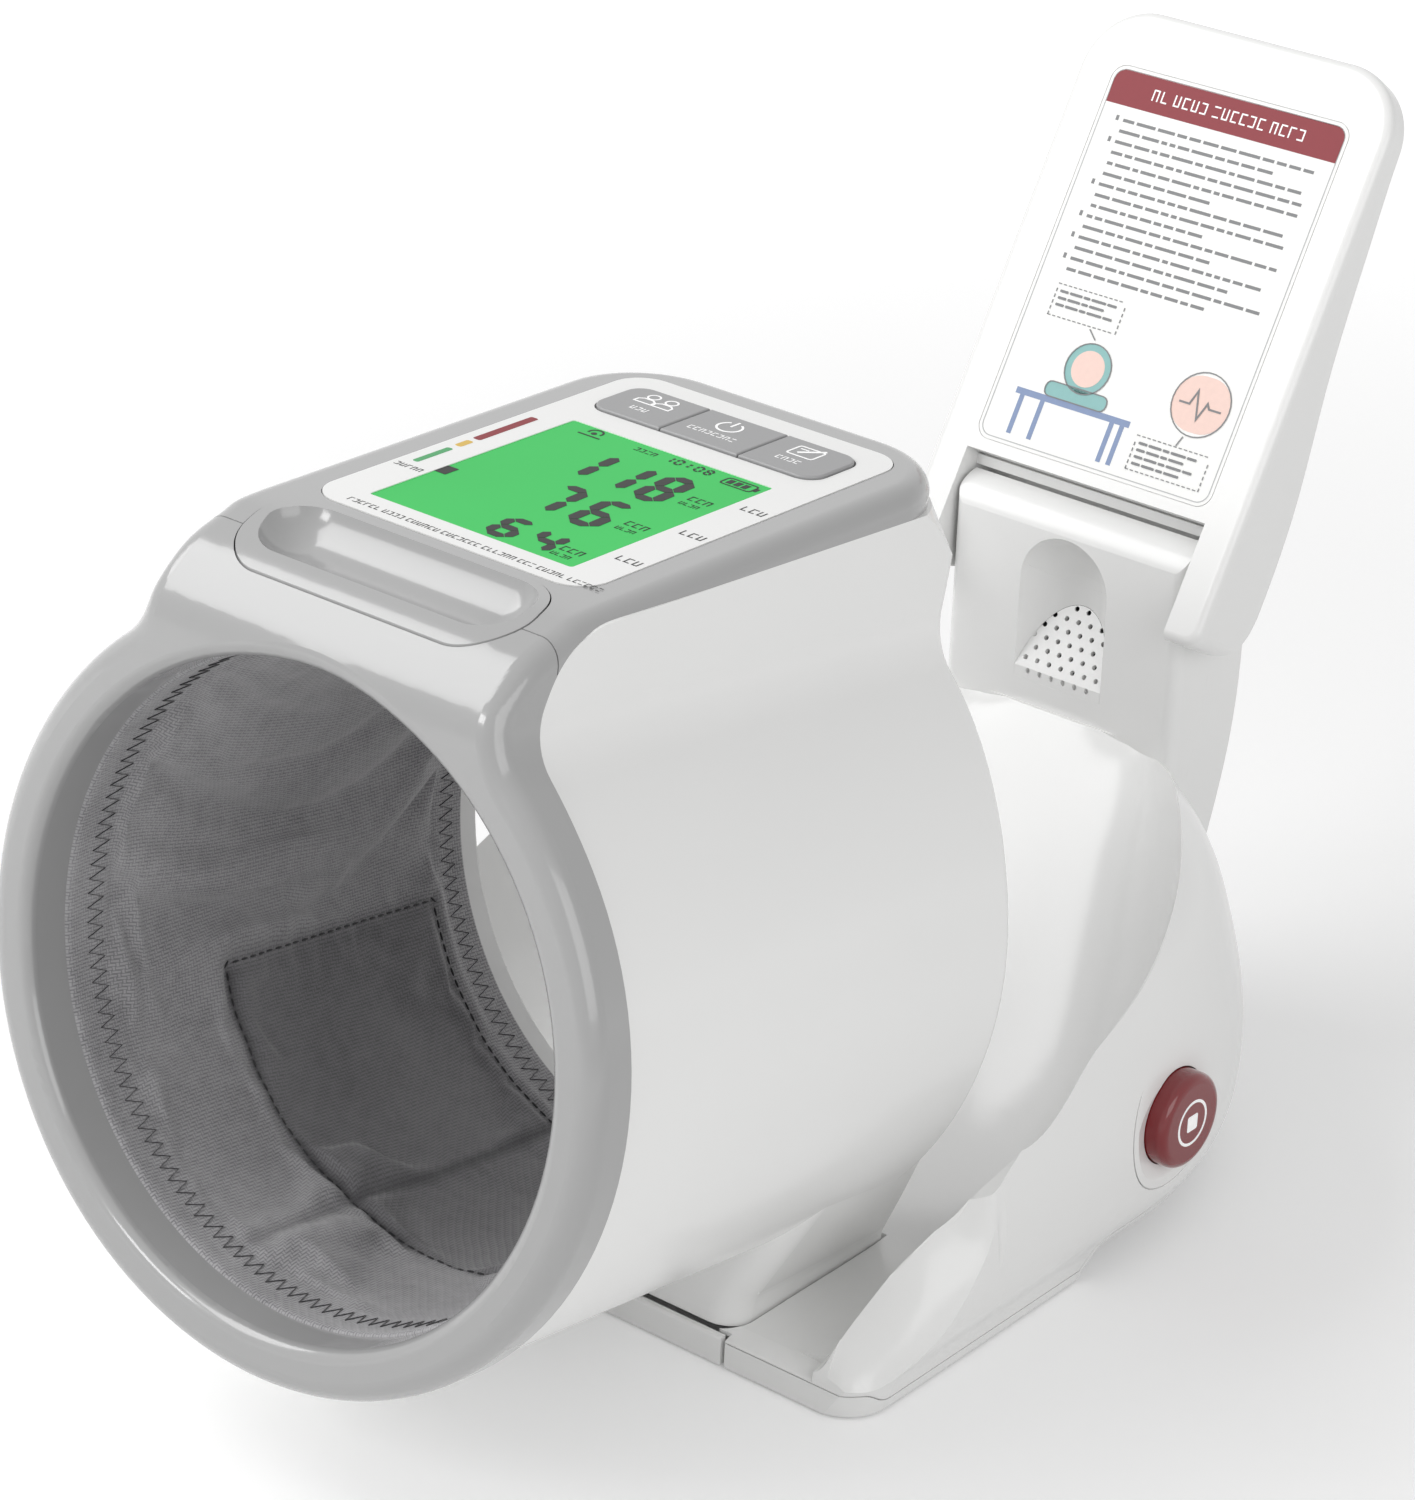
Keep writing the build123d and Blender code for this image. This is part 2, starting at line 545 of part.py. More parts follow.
def column_back():
    _, split = column_side()
    ridge = Spline((HINGE_Y + 2, HINGE_Z + 4), (118, 122), (124, 103), tangents=((1, 0), (0, -1)))
    back = Spline((124, 103), (122, 80), (114, 52), (100, 22), tangents=((0, -1), (-1, -1.4)))
    rest = Polyline((100, 22), (100, 50))
    return across_x(loop(ridge, back, rest, split), COL_W)


def finger_pocket(grow):
    """Upright round-topped scoop in the column face."""
    y = COL_FRONT - POCKET_OUT
    radius = POCKET_R + grow
    return rod("Z", radius, POCKET_Z - 30, POCKET_Z, (0, y)) + Pos(0, y, POCKET_Z) * Sphere(radius)


def boss_places():
    """Where the screws join the two base shells: x, y, underside there."""
    return ((BASE_W - 9, -58, 0), (BASE_W - 9, -14, 0), (BASE_W - 16, 62, STEP_UP))


def front_lip():
    """Cut that rounds the front edge over into the floor of the channel."""
    curve = Spline(
        (BASE_FRONT - 0.5, SPLIT_FRONT - 0.9), (BASE_FRONT + 1.6, FLOOR_Z - 0.75), (BASE_FRONT + LIP_BACK, FLOOR_Z),
        tangents=((0.1, 1), (1, 0)))
    rest = Polyline(
        (BASE_FRONT + LIP_BACK, FLOOR_Z), (BASE_FRONT + LIP_BACK, 40), (BASE_FRONT - 10, 40), (BASE_FRONT - 10, 0),
        (BASE_FRONT - 0.5, 0), (BASE_FRONT - 0.5, SPLIT_FRONT - 0.9))
    return across_x(loop(curve, rest), LIP_W)


def above_seam():
    """Everything over the seam of the two base shells: high on the front face, low along the sides."""
    curve = Spline(
        (BASE_FRONT + 3.0, SPLIT_FRONT), (BASE_FRONT + 7.0, (SPLIT_FRONT + SPLIT_Z) / 2), (BASE_FRONT + 12.0, SPLIT_Z),
        tangents=((1, 0), (1, 0)))
    rest = Polyline(
        (BASE_FRONT + 12.0, SPLIT_Z), (FOOT_END - 1.5, SPLIT_Z), (FOOT_END + 4.5, STEP_UP + SPLIT_Z), (200, STEP_UP + SPLIT_Z),
        (200, 300), (-200, 300), (-200, SPLIT_FRONT), (BASE_FRONT + 3.0, SPLIT_FRONT))
    return across_x(loop(curve, rest), 150)


def dome():
    body = (outer_body(0) & crest(0)) - bowl(0) - front_lip()
    for side in both_sides(nose_cut()):
        body = body - side
    return body


def base_upper_shell():
    body = (dome() & above_seam()) + column_front()
    inside = (outer_body(WALL) & crest(WALL)) - bowl(WALL)
    for side in both_sides(Pos(-WALL, 0, -WALL) * nose_cut()):
        inside = inside - side
    body = body - inside
    # inside of the column
    well = across_x(poly(
        (COL_FRONT + WALL, 54), (114, 54), (114, 122), (HINGE_Y, HINGE_Z - 1), (COL_FRONT + WALL, 122)), COL_W - WALL)
    bearings = both_sides(rod("X", 6.5, COL_W - 6, COL_W, (HINGE_Y, HINGE_Z)))
    body = body - (well - (finger_pocket(2.2) + bearings[0] + bearings[1]))
    body = body - finger_scoop() - grille_seat()
    body = body - grille_slab(POCKET_R + 0.05, -GRILLE_T - 0.05, 12)
    for pin in both_sides(rod("X", PIN_R + RUN, COL_W - 7, COL_W + 1, (HINGE_Y, HINGE_Z))):
        body = body - pin
    # bosses for the base screws
    for x, y, under in boss_places():
        rib = block(x, x + 25, y - 0.8, y + 0.8, under + SPLIT_Z, under + 20)
        boss = (rod("Z", 4.0, under + SPLIT_Z, under + 20, (x, y)) + rib) & dome()
        hole = rod("Z", 1.5, under, under + 12, (x, y))
        for side_boss, side_hole in zip(both_sides(boss), both_sides(hole)):
            body = body + side_boss - side_hole
    # slot that the pedestal of the tunnel moves in, and the notch of the service cover
    slot = slab(NECK_W + SLOT, NECK_FRONT - SLOT, NECK_BACK, 3, 14, 7.0)
    slot = slot + block(-NECK_W - SLOT, NECK_W + SLOT, PIVOT_Y, NECK_BACK + SLOT + SWING, 3, 14)
    island = NECK_W - NECK_WALL - SLOT
    body = body - (slot - block(-island, island, NECK_FRONT + NECK_WALL + SLOT + SWING, 0, 3, 14))
    body = body - block(-COVER_W - COVER_GAP, COVER_W + COVER_GAP, BASE_FRONT - 1, NECK_FRONT, -1, 14)
    # two posts inside the pedestal that hold the tilt pins
    post = block(island - POST_T, island, PIVOT_Y - POST_R, PIVOT_Y + POST_R, FLOOR_Z - WALL, PIVOT_Z)
    post = post + rod("X", POST_R, island - POST_T, island, (PIVOT_Y, PIVOT_Z))
    post = post - rod("X", PIVOT_R, island - POST_T - 1, island + 1, (PIVOT_Y, PIVOT_Z))
    for side_post in both_sides(post):
        body = body + side_post
    # stop button, power inlet
    body = body - rod("X", COLLAR_R, 80, 100, (STOP_Y, STOP_Z))
    body = body - rod("X", INLET_R, -100, -80, (INLET_Y, INLET_Z))
    return body


def base_lower_shell():
    body = (outer_body(0) & underside(FOOT_LIFT)) - above_seam()
    body = body - (outer_body(WALL) & underside(FOOT_LIFT + WALL))
    # shadow line round the outside, just under the seam
    body = body - ((Pos(0, 0, -SEAM_GAP) * above_seam()) - outer_body(SEAM_DEEP))
    for x, y, under in boss_places():
        cut = rod("Z", 1.7, under - 1, under + 5, (x, y)) + rod("Z", 3.0, under - 1, under + FOOT_LIFT + 1.2, (x, y))
        for side_cut in both_sides(cut):
            body = body - side_cut
    # front service cover, battery door with its ledge
    body = body - block(-COVER_W - COVER_GAP, COVER_W + COVER_GAP, BASE_FRONT - 1, COVER_BACK, -1, 10)
    door_top = STEP_UP + FOOT_LIFT + DOOR_T
    body = body - block(-DOOR_W - GAP, DOOR_W + GAP, DOOR_Y - GAP, 130, STEP_UP - 1, door_top + 0.1)
    body = body - block(-DOOR_W + 3, DOOR_W - 3, DOOR_Y + 3, DOOR_Y + 54, STEP_UP - 1, STEP_UP + 5)
    # post of the stop switch, posts of the power board
    body = body + block(SWITCH_X, SWITCH_X + SWITCH_T, STOP_Y - 6, STOP_Y + 6, FLOOR_IN - 0.5, STOP_Z - 5)
    for x, y in board_posts():
        body = body + rod("Z", 2.5, FLOOR_IN - 0.5, BOARD_Z, (x, y))
    for x, y in FOOT_PLACES:
        for pocket in both_sides(rod("Z", FOOT_R, -1, FOOT_T, (x, y))):
            body = body - pocket
    return body - rod("Z", FOOT_R, -1, FOOT_T, MIDDLE_FOOT)


def service_cover():
    plate = block(-COVER_W, COVER_W, BASE_FRONT, BASE_FRONT + 1.7, FOOT_LIFT, FLOOR_Z - 0.9)
    plate = fillet(plate.edges().group_by(Axis.Z)[-1].sort_by(Axis.Y)[0], 0.8)
    return plate + block(-COVER_W, COVER_W, BASE_FRONT + 1, COVER_BACK, FOOT_LIFT, FOOT_LIFT + 2.0)


def battery_door():
    low = STEP_UP + FOOT_LIFT
    plate = block(-DOOR_W, DOOR_W, DOOR_Y, 130, low, low + DOOR_T) & outer_body(0)
    grips = [block(-12, 12, y, y + 1.2, low - 1, low + 0.5) for y in (84, 87, 90, 93)]
    for groove in grips:
        plate = plate - groove
    return plate


def rubber_feet():
    pads = [piece for x, y in FOOT_PLACES for piece in both_sides(rod("Z", FOOT_R, 0, FOOT_T, (x, y)))]
    return pads + [rod("Z", FOOT_R, 0, FOOT_T, MIDDLE_FOOT)]


def base_screws():
    pieces = []
    for x, y, under in boss_places():
        head = under + FOOT_LIFT + 1.2
        screw = rod("Z", 1.5, head - 0.5, under + 11, (x, y)) + rod("Z", 2.8, head - 1, head, (x, y))
        pieces = pieces + both_sides(screw)
    return pieces


def tilt_pins():
    return both_sides(rod("X", PIVOT_R, NECK_W - NECK_WALL - SLOT - POST_T, NECK_W - 1.6, (PIVOT_Y, PIVOT_Z)))


# ---------------------------------------------------------------- inside the base
def battery_box():
    shell = block(-32, 32, DOOR_Y + 0.5, DOOR_Y + 57.5, FLOOR_IN, 28)
    return shell - block(-CELL_X * 2 - 0.3, CELL_X * 2 + 0.3, DOOR_Y + 2, DOOR_Y + 56, FLOOR_IN - 1, CELL_Z + CELL_R)


def batteries():
    cells = []
    for n in range(4):
        x = (n - 1.5) * CELL_X
        can = rod("Y", CELL_R, CELL_FROM, CELL_FROM + CELL_L - 1, (x, CELL_Z))
        cells.append(can + rod("Y", 2.7, CELL_FROM, CELL_FROM + CELL_L, (x, CELL_Z)))
    return cells


def battery_contacts():
    plates = []
    for n in range(4):
        x = (n - 1.5) * CELL_X
        plates.append(block(x - 4, x + 4, DOOR_Y + 2, CELL_FROM, CELL_Z - 4, CELL_Z + 4))
        plates.append(block(x - 4, x + 4, CELL_FROM + CELL_L, DOOR_Y + 56, CELL_Z - 4, CELL_Z + 4))
    return plates


def pump():
    motor = rod("Y", 11.0, 38, 62, (45, FLOOR_IN + 11.0))
    head = block(34, 56, 62, 76, FLOOR_IN, FLOOR_IN + 22)
    return motor + head + rod("Z", 2.0, FLOOR_IN + 22, FLOOR_IN + 25, (45, 69))


def air_valve():
    return block(-59, -45, 50, 66, FLOOR_IN, FLOOR_IN + 12) + rod("Z", 2.0, FLOOR_IN + 12, FLOOR_IN + 15, (-52, 60))


def air_hose():
    high = FLOOR_IN + 25
    path = Spline((45, 69, high), (30, 73, high + 6), (0, 72, high + 5), (-36, 66, high), (-52, 60, high - 10),
                  tangents=((0, 0, 1), (0, 0, -1)))
    ring = Plane(origin=(45, 69, high), z_dir=(0, 0, 1)) * (Circle(2.4) - Circle(1.2))
    return sweep(ring, path=path)


def board_posts():
    """Where the power board stands on the lower shell: x, y."""
    outer = BOARD_IN - BASE_W
    return [(x, y) for x in (outer + 4, outer + BOARD_L - 2) for y in (26, 41)]


def power_board():
    outer = BOARD_IN - BASE_W
    board = block(outer, outer + BOARD_L, 23, 44, BOARD_Z, BOARD_Z + 1.6)
    return board + block(outer + 10, outer + 22, 28, 40, BOARD_Z + 1.6, BOARD_Z + 4)


def power_inlet():
    barrel = rod("X", INLET_R, -100, -76, (INLET_Y, INLET_Z)) & outer_body(0)
    return barrel - rod("X", 3.0, -100, -80, (INLET_Y, INLET_Z)) + rod("X", 1.0, -88.5, -79, (INLET_Y, INLET_Z))


def stop_switch():
    case = block(SWITCH_X, SWITCH_X + SWITCH_T, STOP_Y - 5, STOP_Y + 5, STOP_Z - 5, STOP_Z + 5)
    return case + rod("X", 1.5, SWITCH_X + SWITCH_T, SWITCH_X + SWITCH_T + PLUNGER, (STOP_Y, STOP_Z))


def stop_collar():
    ring = rod("X", COLLAR_R, STOP_BACK + STOP_LIP + 0.4, 100, (STOP_Y, STOP_Z)) & outer_body(0)
    ring = ring - rod("X", STOP_R + GAP, 80, 110, (STOP_Y, STOP_Z))
    dish = Pos(91.2 + 52, STOP_Y, STOP_Z) * Sphere(54)
    groove = rod("X", COLLAR_R + 1, 90.2, 100, (STOP_Y, STOP_Z)) - rod("X", COLLAR_R - 0.4, 80, 110, (STOP_Y, STOP_Z))
    dish = dish & rod("X", COLLAR_R - 2.2, 80, 110, (STOP_Y, STOP_Z))
    return ring - dish - groove


def stop_button():
    cap = rod("X", STOP_R, STOP_BACK, STOP_FACE, (STOP_Y, STOP_Z))
    cap = fillet(cap.edges().group_by(Axis.X)[-1], 2.2)
    flange = rod("X", STOP_R + 1.4, STOP_BACK, STOP_BACK + STOP_LIP, (STOP_Y, STOP_Z))
    stem_from = SWITCH_X + SWITCH_T + PLUNGER + STOP_TRAVEL + 0.2
    return cap + flange + rod("X", 3.0, stem_from, STOP_BACK + 1, (STOP_Y, STOP_Z))


# ---------------------------------------------------------------- column
GRILLE = Location((0, COL_FRONT + 4.8, 102.0), (58.3, 0, 0))
GRILLE_T = 1.6           # thickness of the grille
HOLE_R = 0.65
HOLE_PITCH = 3.5
SPEAKER_R = 10.0
SPEAKER_UP = 2.8         # the speaker sits this far up the slope from the grille's middle


def grille_slab(radius, low, high):
    """Sloping floor of the finger scoop between two depths, cut round by the scoop."""
    sloped = GRILLE * block(-20, 20, -12, 14, low, high)
    round_cut = rod("Z", radius, 80, 130, (0, COL_FRONT - POCKET_OUT))
    return sloped & round_cut & block(-20, 20, COL_FRONT, 120, 80, 130)


def grille_seat():
    """Room behind the grille for the speaker."""
    return GRILLE * Pos(0, SPEAKER_UP, -5.2) * Cylinder(SPEAKER_R + 0.6, 10.4)


def finger_scoop():
    """The part of the finger pocket that lies over the grille."""
    return finger_pocket(0) & (GRILLE * block(-40, 40, -40, 60, -GRILLE_T / 2, 80))


def speaker_grille():
    plate = grille_slab(POCKET_R, -GRILLE_T, 0)
    for row in range(-3, 4):
        for col in range(-3, 4):
            x = (col + (0.5 if row % 2 else 0.0)) * HOLE_PITCH
            y = row * 0.87 * HOLE_PITCH - 0.6
            if x * x + (y + 3.0) ** 2 > 139:
                continue
            plate = plate - GRILLE * Pos(x, y, 0) * Cylinder(HOLE_R, 10)
    return plate


def speaker():
    frame = Pos(0, 0, -GRILLE_T - 2.5) * (Cylinder(SPEAKER_R, 5) - Pos(0, 0, 1) * Cylinder(SPEAKER_R - 1.8, 5))
    magnet = Pos(0, 0, -GRILLE_T - 6.2) * Cylinder(5.5, 2.6)
    return GRILLE * Pos(0, SPEAKER_UP, 0) * (frame + magnet)


def column_rear_cover():
    inner = across_x(loop(
        Spline((HINGE_Y, HINGE_Z + 1), (115.6, 121), (121.6, 103), tangents=((1, 0), (0, -1))),
        Spline((121.6, 103), (119.6, 81), (111.6, 54), (96, 30), tangents=((0, -1), (-1, -1.4))),
        Polyline((96, 30), (90, 30), (90, HINGE_Z + 1), (HINGE_Y, HINGE_Z + 1))), COL_W - WALL)
    bearings = [rod("X", 6.5, x, x + 6, (HINGE_Y, HINGE_Z)) for x in (COL_W - 6, -COL_W)]
    cover = (column_back() - inner) - (outer_body(0) & crest(0))
    cover = cover - bearings[0] - bearings[1]
    return max(cover.solids(), key=lambda part: part.volume)


# ---------------------------------------------------------------- lid (drawn on the hinge axis, +Z up the lid)
def lid_outline(inset):
    """Front view of the lid, as (x, z), legs included."""
    body = Pos(0, (LID_TOP - LEG_END) / 2) * Rectangle(2 * (LID_W - inset), LID_TOP + LEG_END - 2 * inset)
    tops = body.vertices().sort_by(Axis.Y)[-2:]
    body = fillet(tops, 17 - inset)
    low = body.vertices().sort_by(Axis.Y)[:2]
    return fillet(low, 4)


def lid_notch(grow):
    """Room for the column top between the legs."""
    return block(-LEG_IN - grow, LEG_IN + grow, -40, 40, -60, HINGE_R + 2.5 + grow)


def lid_front_frame():
    body = Pos(0, -LID_FACE, 0) * along_y(lid_outline(0), 0, FRAME_T)
    body = fillet(body.edges().group_by(Axis.Y)[0], 2.2)
    body = body - lid_notch(0)
    card = slab_xz(CARD_W, CARD_FROM, CARD_FROM + CARD_L, -LID_FACE - 1, -LID_FACE + CARD_T, 4.0)
    inside = slab_xz(LID_W - 4.5, 17.5, LID_TOP - 6, -LID_FACE + 2.0, 20, 12)
    return body - card - inside


def slab_xz(half_w, z0, z1, y0, y1, radius):
    plan = Pos(0, (z0 + z1) / 2) * RectangleRounded(2 * half_w, z1 - z0, radius)
    return along_y(plan, y0, y1)


def instruction_card():
    return slab_xz(CARD_W - 0.2, CARD_FROM + 0.2, CARD_FROM + CARD_L - 0.2, -LID_FACE, -LID_FACE + CARD_T, 3.8)


def lid_side(inset):
    """Side view of the lid's rear shell, as (y, z)."""
    y0 = -LID_FACE + FRAME_T
    low = Spline(
        (y0, -LEG_END + inset), (6, -LEG_END + 2 + inset), (13 - inset, -2), tangents=((1, 0), (0, 1)))
    back = Spline(
        (13 - inset, -2), (11.5 - inset, 22), (4 - inset, 55), (-1.2 - inset, 92), (-3.4 - inset, LID_TOP - 3),
        tangents=((0, 1), (0, 1)))
    rest = Polyline((-3.4 - inset, LID_TOP - 3), (-3.4 - inset, 160), (y0, 160), (y0, -LEG_END + inset))
    return loop(low, back, rest)


def lid_lip():
    """Curved lip of the rear shell that closes the slot over the column's round top."""
    ring = rod("X", HINGE_R + 3.1, -LEG_IN - 1, LEG_IN + 1, (0, 0)) - rod("X", HINGE_R + 0.6, -60, 60, (0, 0))
    wedge = across_x(poly((0, 0), (-9, 20), (16, 20)), 60)
    return ring & wedge


def lid_rear_shell():
    prism = along_y(lid_outline(0.3), -LID_FACE + FRAME_T, 20)
    body = prism & across_x(lid_side(0), 60)
    hollow = along_y(lid_outline(0.3 + WALL), -LID_FACE + FRAME_T, 20) & across_x(lid_side(WALL), 60)
    hollow = hollow - block(-60, 60, -30, 30, -60, HINGE_R + 2.5 + WALL)
    legs = block(-LEG_IN, LEG_IN, -40, 40, -60, HINGE_R + 2.5)
    body = body - hollow - legs
    for x in (-42, LEG_IN - 1):
        body = body - rod("X", PIN_R, x, x + 8, (0, 0))
    return body + (lid_lip() & across_x(lid_side(0), 60))


def hinge_pins():
    return both_sides(rod("X", PIN_R, COL_W - 6, 42, (HINGE_Y, HINGE_Z)))


def lid_screws():
    pieces = []
    for x, z in ((38, 20), (38, 112)):
        pieces = pieces + both_sides(rod("Y", 1.3, -LID_FACE + 2.4, -LID_FACE + FRAME_T + 3, (x, z)))
    return pieces


# ---------------------------------------------------------------- inside the tunnel
def cuff_drum():
    return tube(DRUM_OUT, DRUM_OUT - DRUM_T, DRUM_FROM, BARREL_END)


def cuff_bladder():
    outer = DRUM_OUT - DRUM_T
    return tube(outer, outer - BLADDER_T, 16, 138)


def cuff_liner():
    outer = DRUM_OUT - DRUM_T - BLADDER_T
    return tube(outer, outer - LINER_T, RING_DEPTH, BARREL_END - RIM_LAP)


def lcd_window():
    return slab(LCD_W, LCD_FROM - PANEL_MID, LCD_TO - PANEL_MID, -PLATE_T, 0, 0.8)


def lcd_module():
    return slab(LCD_W + 3, LCD_FROM - 3 - PANEL_MID, LCD_TO + 3 - PANEL_MID, -BEZEL_T, -PLATE_T, 1)


def main_board():
    board = slab(PLATE_W, PLATE_FROM - PANEL_MID, PLATE_TO - PANEL_MID, -BEZEL_T - 1.6, -BEZEL_T, 2)
    chip = block(-9, 9, -12, 6, -BEZEL_T - 3.4, -BEZEL_T - 1.6)
    return board + chip


def key_mat():
    mat = slab(KEYS_W - 0.5, KEYS_FROM - PANEL_MID, KEYS_TO - PANEL_MID, -BEZEL_T, -BEZEL_T + 1.2, 2)
    for x in (-KEYS_W / 2 - KEY_SPLIT / 2, 0, KEYS_W / 2 + KEY_SPLIT / 2):
        mat = mat + Pos(x, (KEYS_FROM + KEYS_TO) / 2 - PANEL_MID, -BEZEL_T + 0.7) * Cylinder(2.5, 1.4)
    return mat


def board_screw_places():
    """Corners of the main board where it is screwed to the bezel."""
    ends = (PLATE_FROM + 3 - PANEL_MID, PLATE_TO - 3 - PANEL_MID)
    return [(x, y) for x in (2 - PLATE_W, PLATE_W - 2) for y in ends]


def board_screws():
    pieces = []
    for x, y in board_screw_places():
        pieces.append(Pos(x, y, -BEZEL_T) * Cylinder(1.0, 6) + Pos(x, y, -BEZEL_T - 2.2) * Cylinder(1.8, 1.2))
    return pieces


def main():
    save("front_ring", TUNNEL * front_ring())
    save("grip_inset", TUNNEL * grip_inset())
    save("barrel_shell", barrel_shell())
    save("rear_rim", TUNNEL * rear_rim())
    save("cuff_drum", TUNNEL * cuff_drum())
    save("cuff_bladder", TUNNEL * cuff_bladder())
    save("cuff_liner", TUNNEL * cuff_liner())
    save("display_bezel", TUNNEL * display_bezel())
    save("panel_plate", FACE * panel_plate())
    save("lcd_window", FACE * lcd_window())
    save("lcd_module", FACE * lcd_module())
    save("main_board", FACE * main_board())
    save("key_mat", FACE * key_mat())
    save("board_screws", [FACE * screw for screw in board_screws()])
    save("set_button", FACE * key(-KEYS_W, -KEY_SPLIT, -1))
    save("start_button", FACE * key(-KEY_SPLIT, KEY_SPLIT, 0))
    save("memory_button", FACE * key(KEY_SPLIT, KEYS_W, 1))
    save("base_upper_shell", base_upper_shell())
    save("base_lower_shell", base_lower_shell())
    save("service_cover", service_cover())
    save("battery_door", battery_door())
    save("rubber_feet", rubber_feet())
    save("base_screws", base_screws())
    save("tilt_pins", tilt_pins())
    save("battery_box", battery_box())
    save("batteries", batteries())
    save("battery_contacts", battery_contacts())
    save("pump", pump())
    save("air_valve", air_valve())
    save("air_hose", air_hose())
    save("power_board", power_board())
    save("power_inlet", power_inlet())
    save("stop_switch", stop_switch())
    save("stop_collar", stop_collar())
    save("stop_button", stop_button())
    save("speaker_grille", speaker_grille())
    save("speaker", speaker())
    save("column_rear_cover", column_rear_cover())
    save("lid_front_frame", LID * lid_front_frame())
    save("lid_rear_shell", LID * lid_rear_shell())
    save("instruction_card", LID * instruction_card())
    save("hinge_pins", hinge_pins())
    save("lid_screws", [LID * screw for screw in lid_screws()])


main()
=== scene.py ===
"""Finishes, printed marks and soft parts of an arm-in blood pressure monitor.

Each sub-assembly of the machine is a class that dresses its solids and builds what is sewn or
printed on them. Sizes are written in millimetres and turned into metres with MM; the studio's are
metres.
"""

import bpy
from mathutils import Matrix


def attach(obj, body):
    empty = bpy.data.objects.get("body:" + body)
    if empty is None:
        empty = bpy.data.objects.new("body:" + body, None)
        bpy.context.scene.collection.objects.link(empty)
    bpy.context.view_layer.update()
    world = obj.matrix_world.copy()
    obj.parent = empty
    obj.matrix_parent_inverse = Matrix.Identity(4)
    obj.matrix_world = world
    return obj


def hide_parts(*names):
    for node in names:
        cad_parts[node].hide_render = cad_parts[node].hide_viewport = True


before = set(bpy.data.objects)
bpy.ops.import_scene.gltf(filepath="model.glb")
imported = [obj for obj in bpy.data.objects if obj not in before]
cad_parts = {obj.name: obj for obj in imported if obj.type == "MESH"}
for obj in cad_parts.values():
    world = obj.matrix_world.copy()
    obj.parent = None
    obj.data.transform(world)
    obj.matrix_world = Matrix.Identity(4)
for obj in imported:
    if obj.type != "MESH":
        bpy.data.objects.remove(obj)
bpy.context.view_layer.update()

import logging
import math
from dataclasses import dataclass
from enum import Enum
from typing import Any, Callable, Iterable, Sequence

import bmesh
import bpy
from mathutils import Matrix, Vector

MM = 0.001
LOG = logging.getLogger("monitor")

Point = tuple[float, float]


# ---------------------------------------------------------------- colour and nodes


def linear(code: str) -> tuple[float, float, float, float]:
    """Turns an sRGB hex colour into the linear colour that shaders use.

    Args:
        code: Six hex digits, with or without a leading hash.

    Returns:
        Red, green, blue and an alpha of 1.
    """
    digits = code.lstrip("#")
    channels = [int(digits[i:i + 2], 16) / 255 for i in (0, 2, 4)]
    bent = [c / 12.92 if c <= 0.04045 else ((c + 0.055) / 1.055) ** 2.4 for c in channels]
    return (*bent, 1.0)


def feed(tree: bpy.types.NodeTree, node: bpy.types.Node, inputs: dict[str | int, Any]) -> None:
    """Gives a node's inputs their values or links.

    Args:
        tree: The node tree that the node is in.
        node: The node.
        inputs: Socket name or number to a value, or to the output that feeds it.
    """
    for key, value in inputs.items():
        if isinstance(value, bpy.types.NodeSocket):
            tree.links.new(value, node.inputs[key])
        else:
            node.inputs[key].default_value = value


def add_node(
    tree: bpy.types.NodeTree, kind: str, inputs: dict[str | int, Any] | None = None, **settings: Any
) -> bpy.types.Node:
    """Adds one node with its settings, and gives its inputs their values or links.

    Args:
        tree: The node tree that the node goes into.
        kind: Blender's name for the node's type.
        inputs: Socket name or number to a value, or to the output that feeds it.
        **settings: The node's own properties.

    Returns:
        The new node.
    """
    node = tree.nodes.new(kind)
    for name, value in settings.items():
        setattr(node, name, value)
    feed(tree, node, inputs or {})
    return node


def new_shader(name: str) -> tuple[bpy.types.Material, bpy.types.NodeTree, bpy.types.Node]:
    """Makes an empty material with one Principled shader joined to its output.

    Args:
        name: The finish's name.

    Returns:
        The material, its node tree and the shader node.
    """
    material = bpy.data.materials.new(name)
    material.use_nodes = True
    tree = material.node_tree
    tree.nodes.clear()
    shader = add_node(tree, "ShaderNodeBsdfPrincipled")
    add_node(tree, "ShaderNodeOutputMaterial", {"Surface": shader.outputs["BSDF"]})
    return material, tree, shader


def per_metre(size_mm: float) -> float:
    """Turns the real size of one feature of a pattern into a texture scale."""
    return 1.0 / (size_mm * MM)


def uneven_colour(
    tree: bpy.types.NodeTree, where: bpy.types.NodeSocket, code: str, spread: float, patch_mm: float
) -> bpy.types.NodeSocket:
    """Varies a colour a little from place to place.

    Args:
        tree: The node tree.
        where: The coordinates of the pattern.
        code: The colour, as sRGB hex.
        spread: How far the colour goes down and up, as a share.
        patch_mm: The size of a patch.

    Returns:
        A colour output.
    """
    noise = add_node(
        tree, "ShaderNodeTexNoise", {"Vector": where, "Scale": per_metre(patch_mm), "Detail": 3.0}
    )
    base = linear(code)
    low = tuple(c * (1 - spread) for c in base[:3]) + (1.0,)
    high = tuple(min(1.0, c * (1 + spread)) for c in base[:3]) + (1.0,)
    mix = add_node(
        tree, "ShaderNodeMix", {0: noise.outputs["Fac"], 6: low, 7: high}, data_type="RGBA"
    )
    return mix.outputs[2]


# ---------------------------------------------------------------- finishes


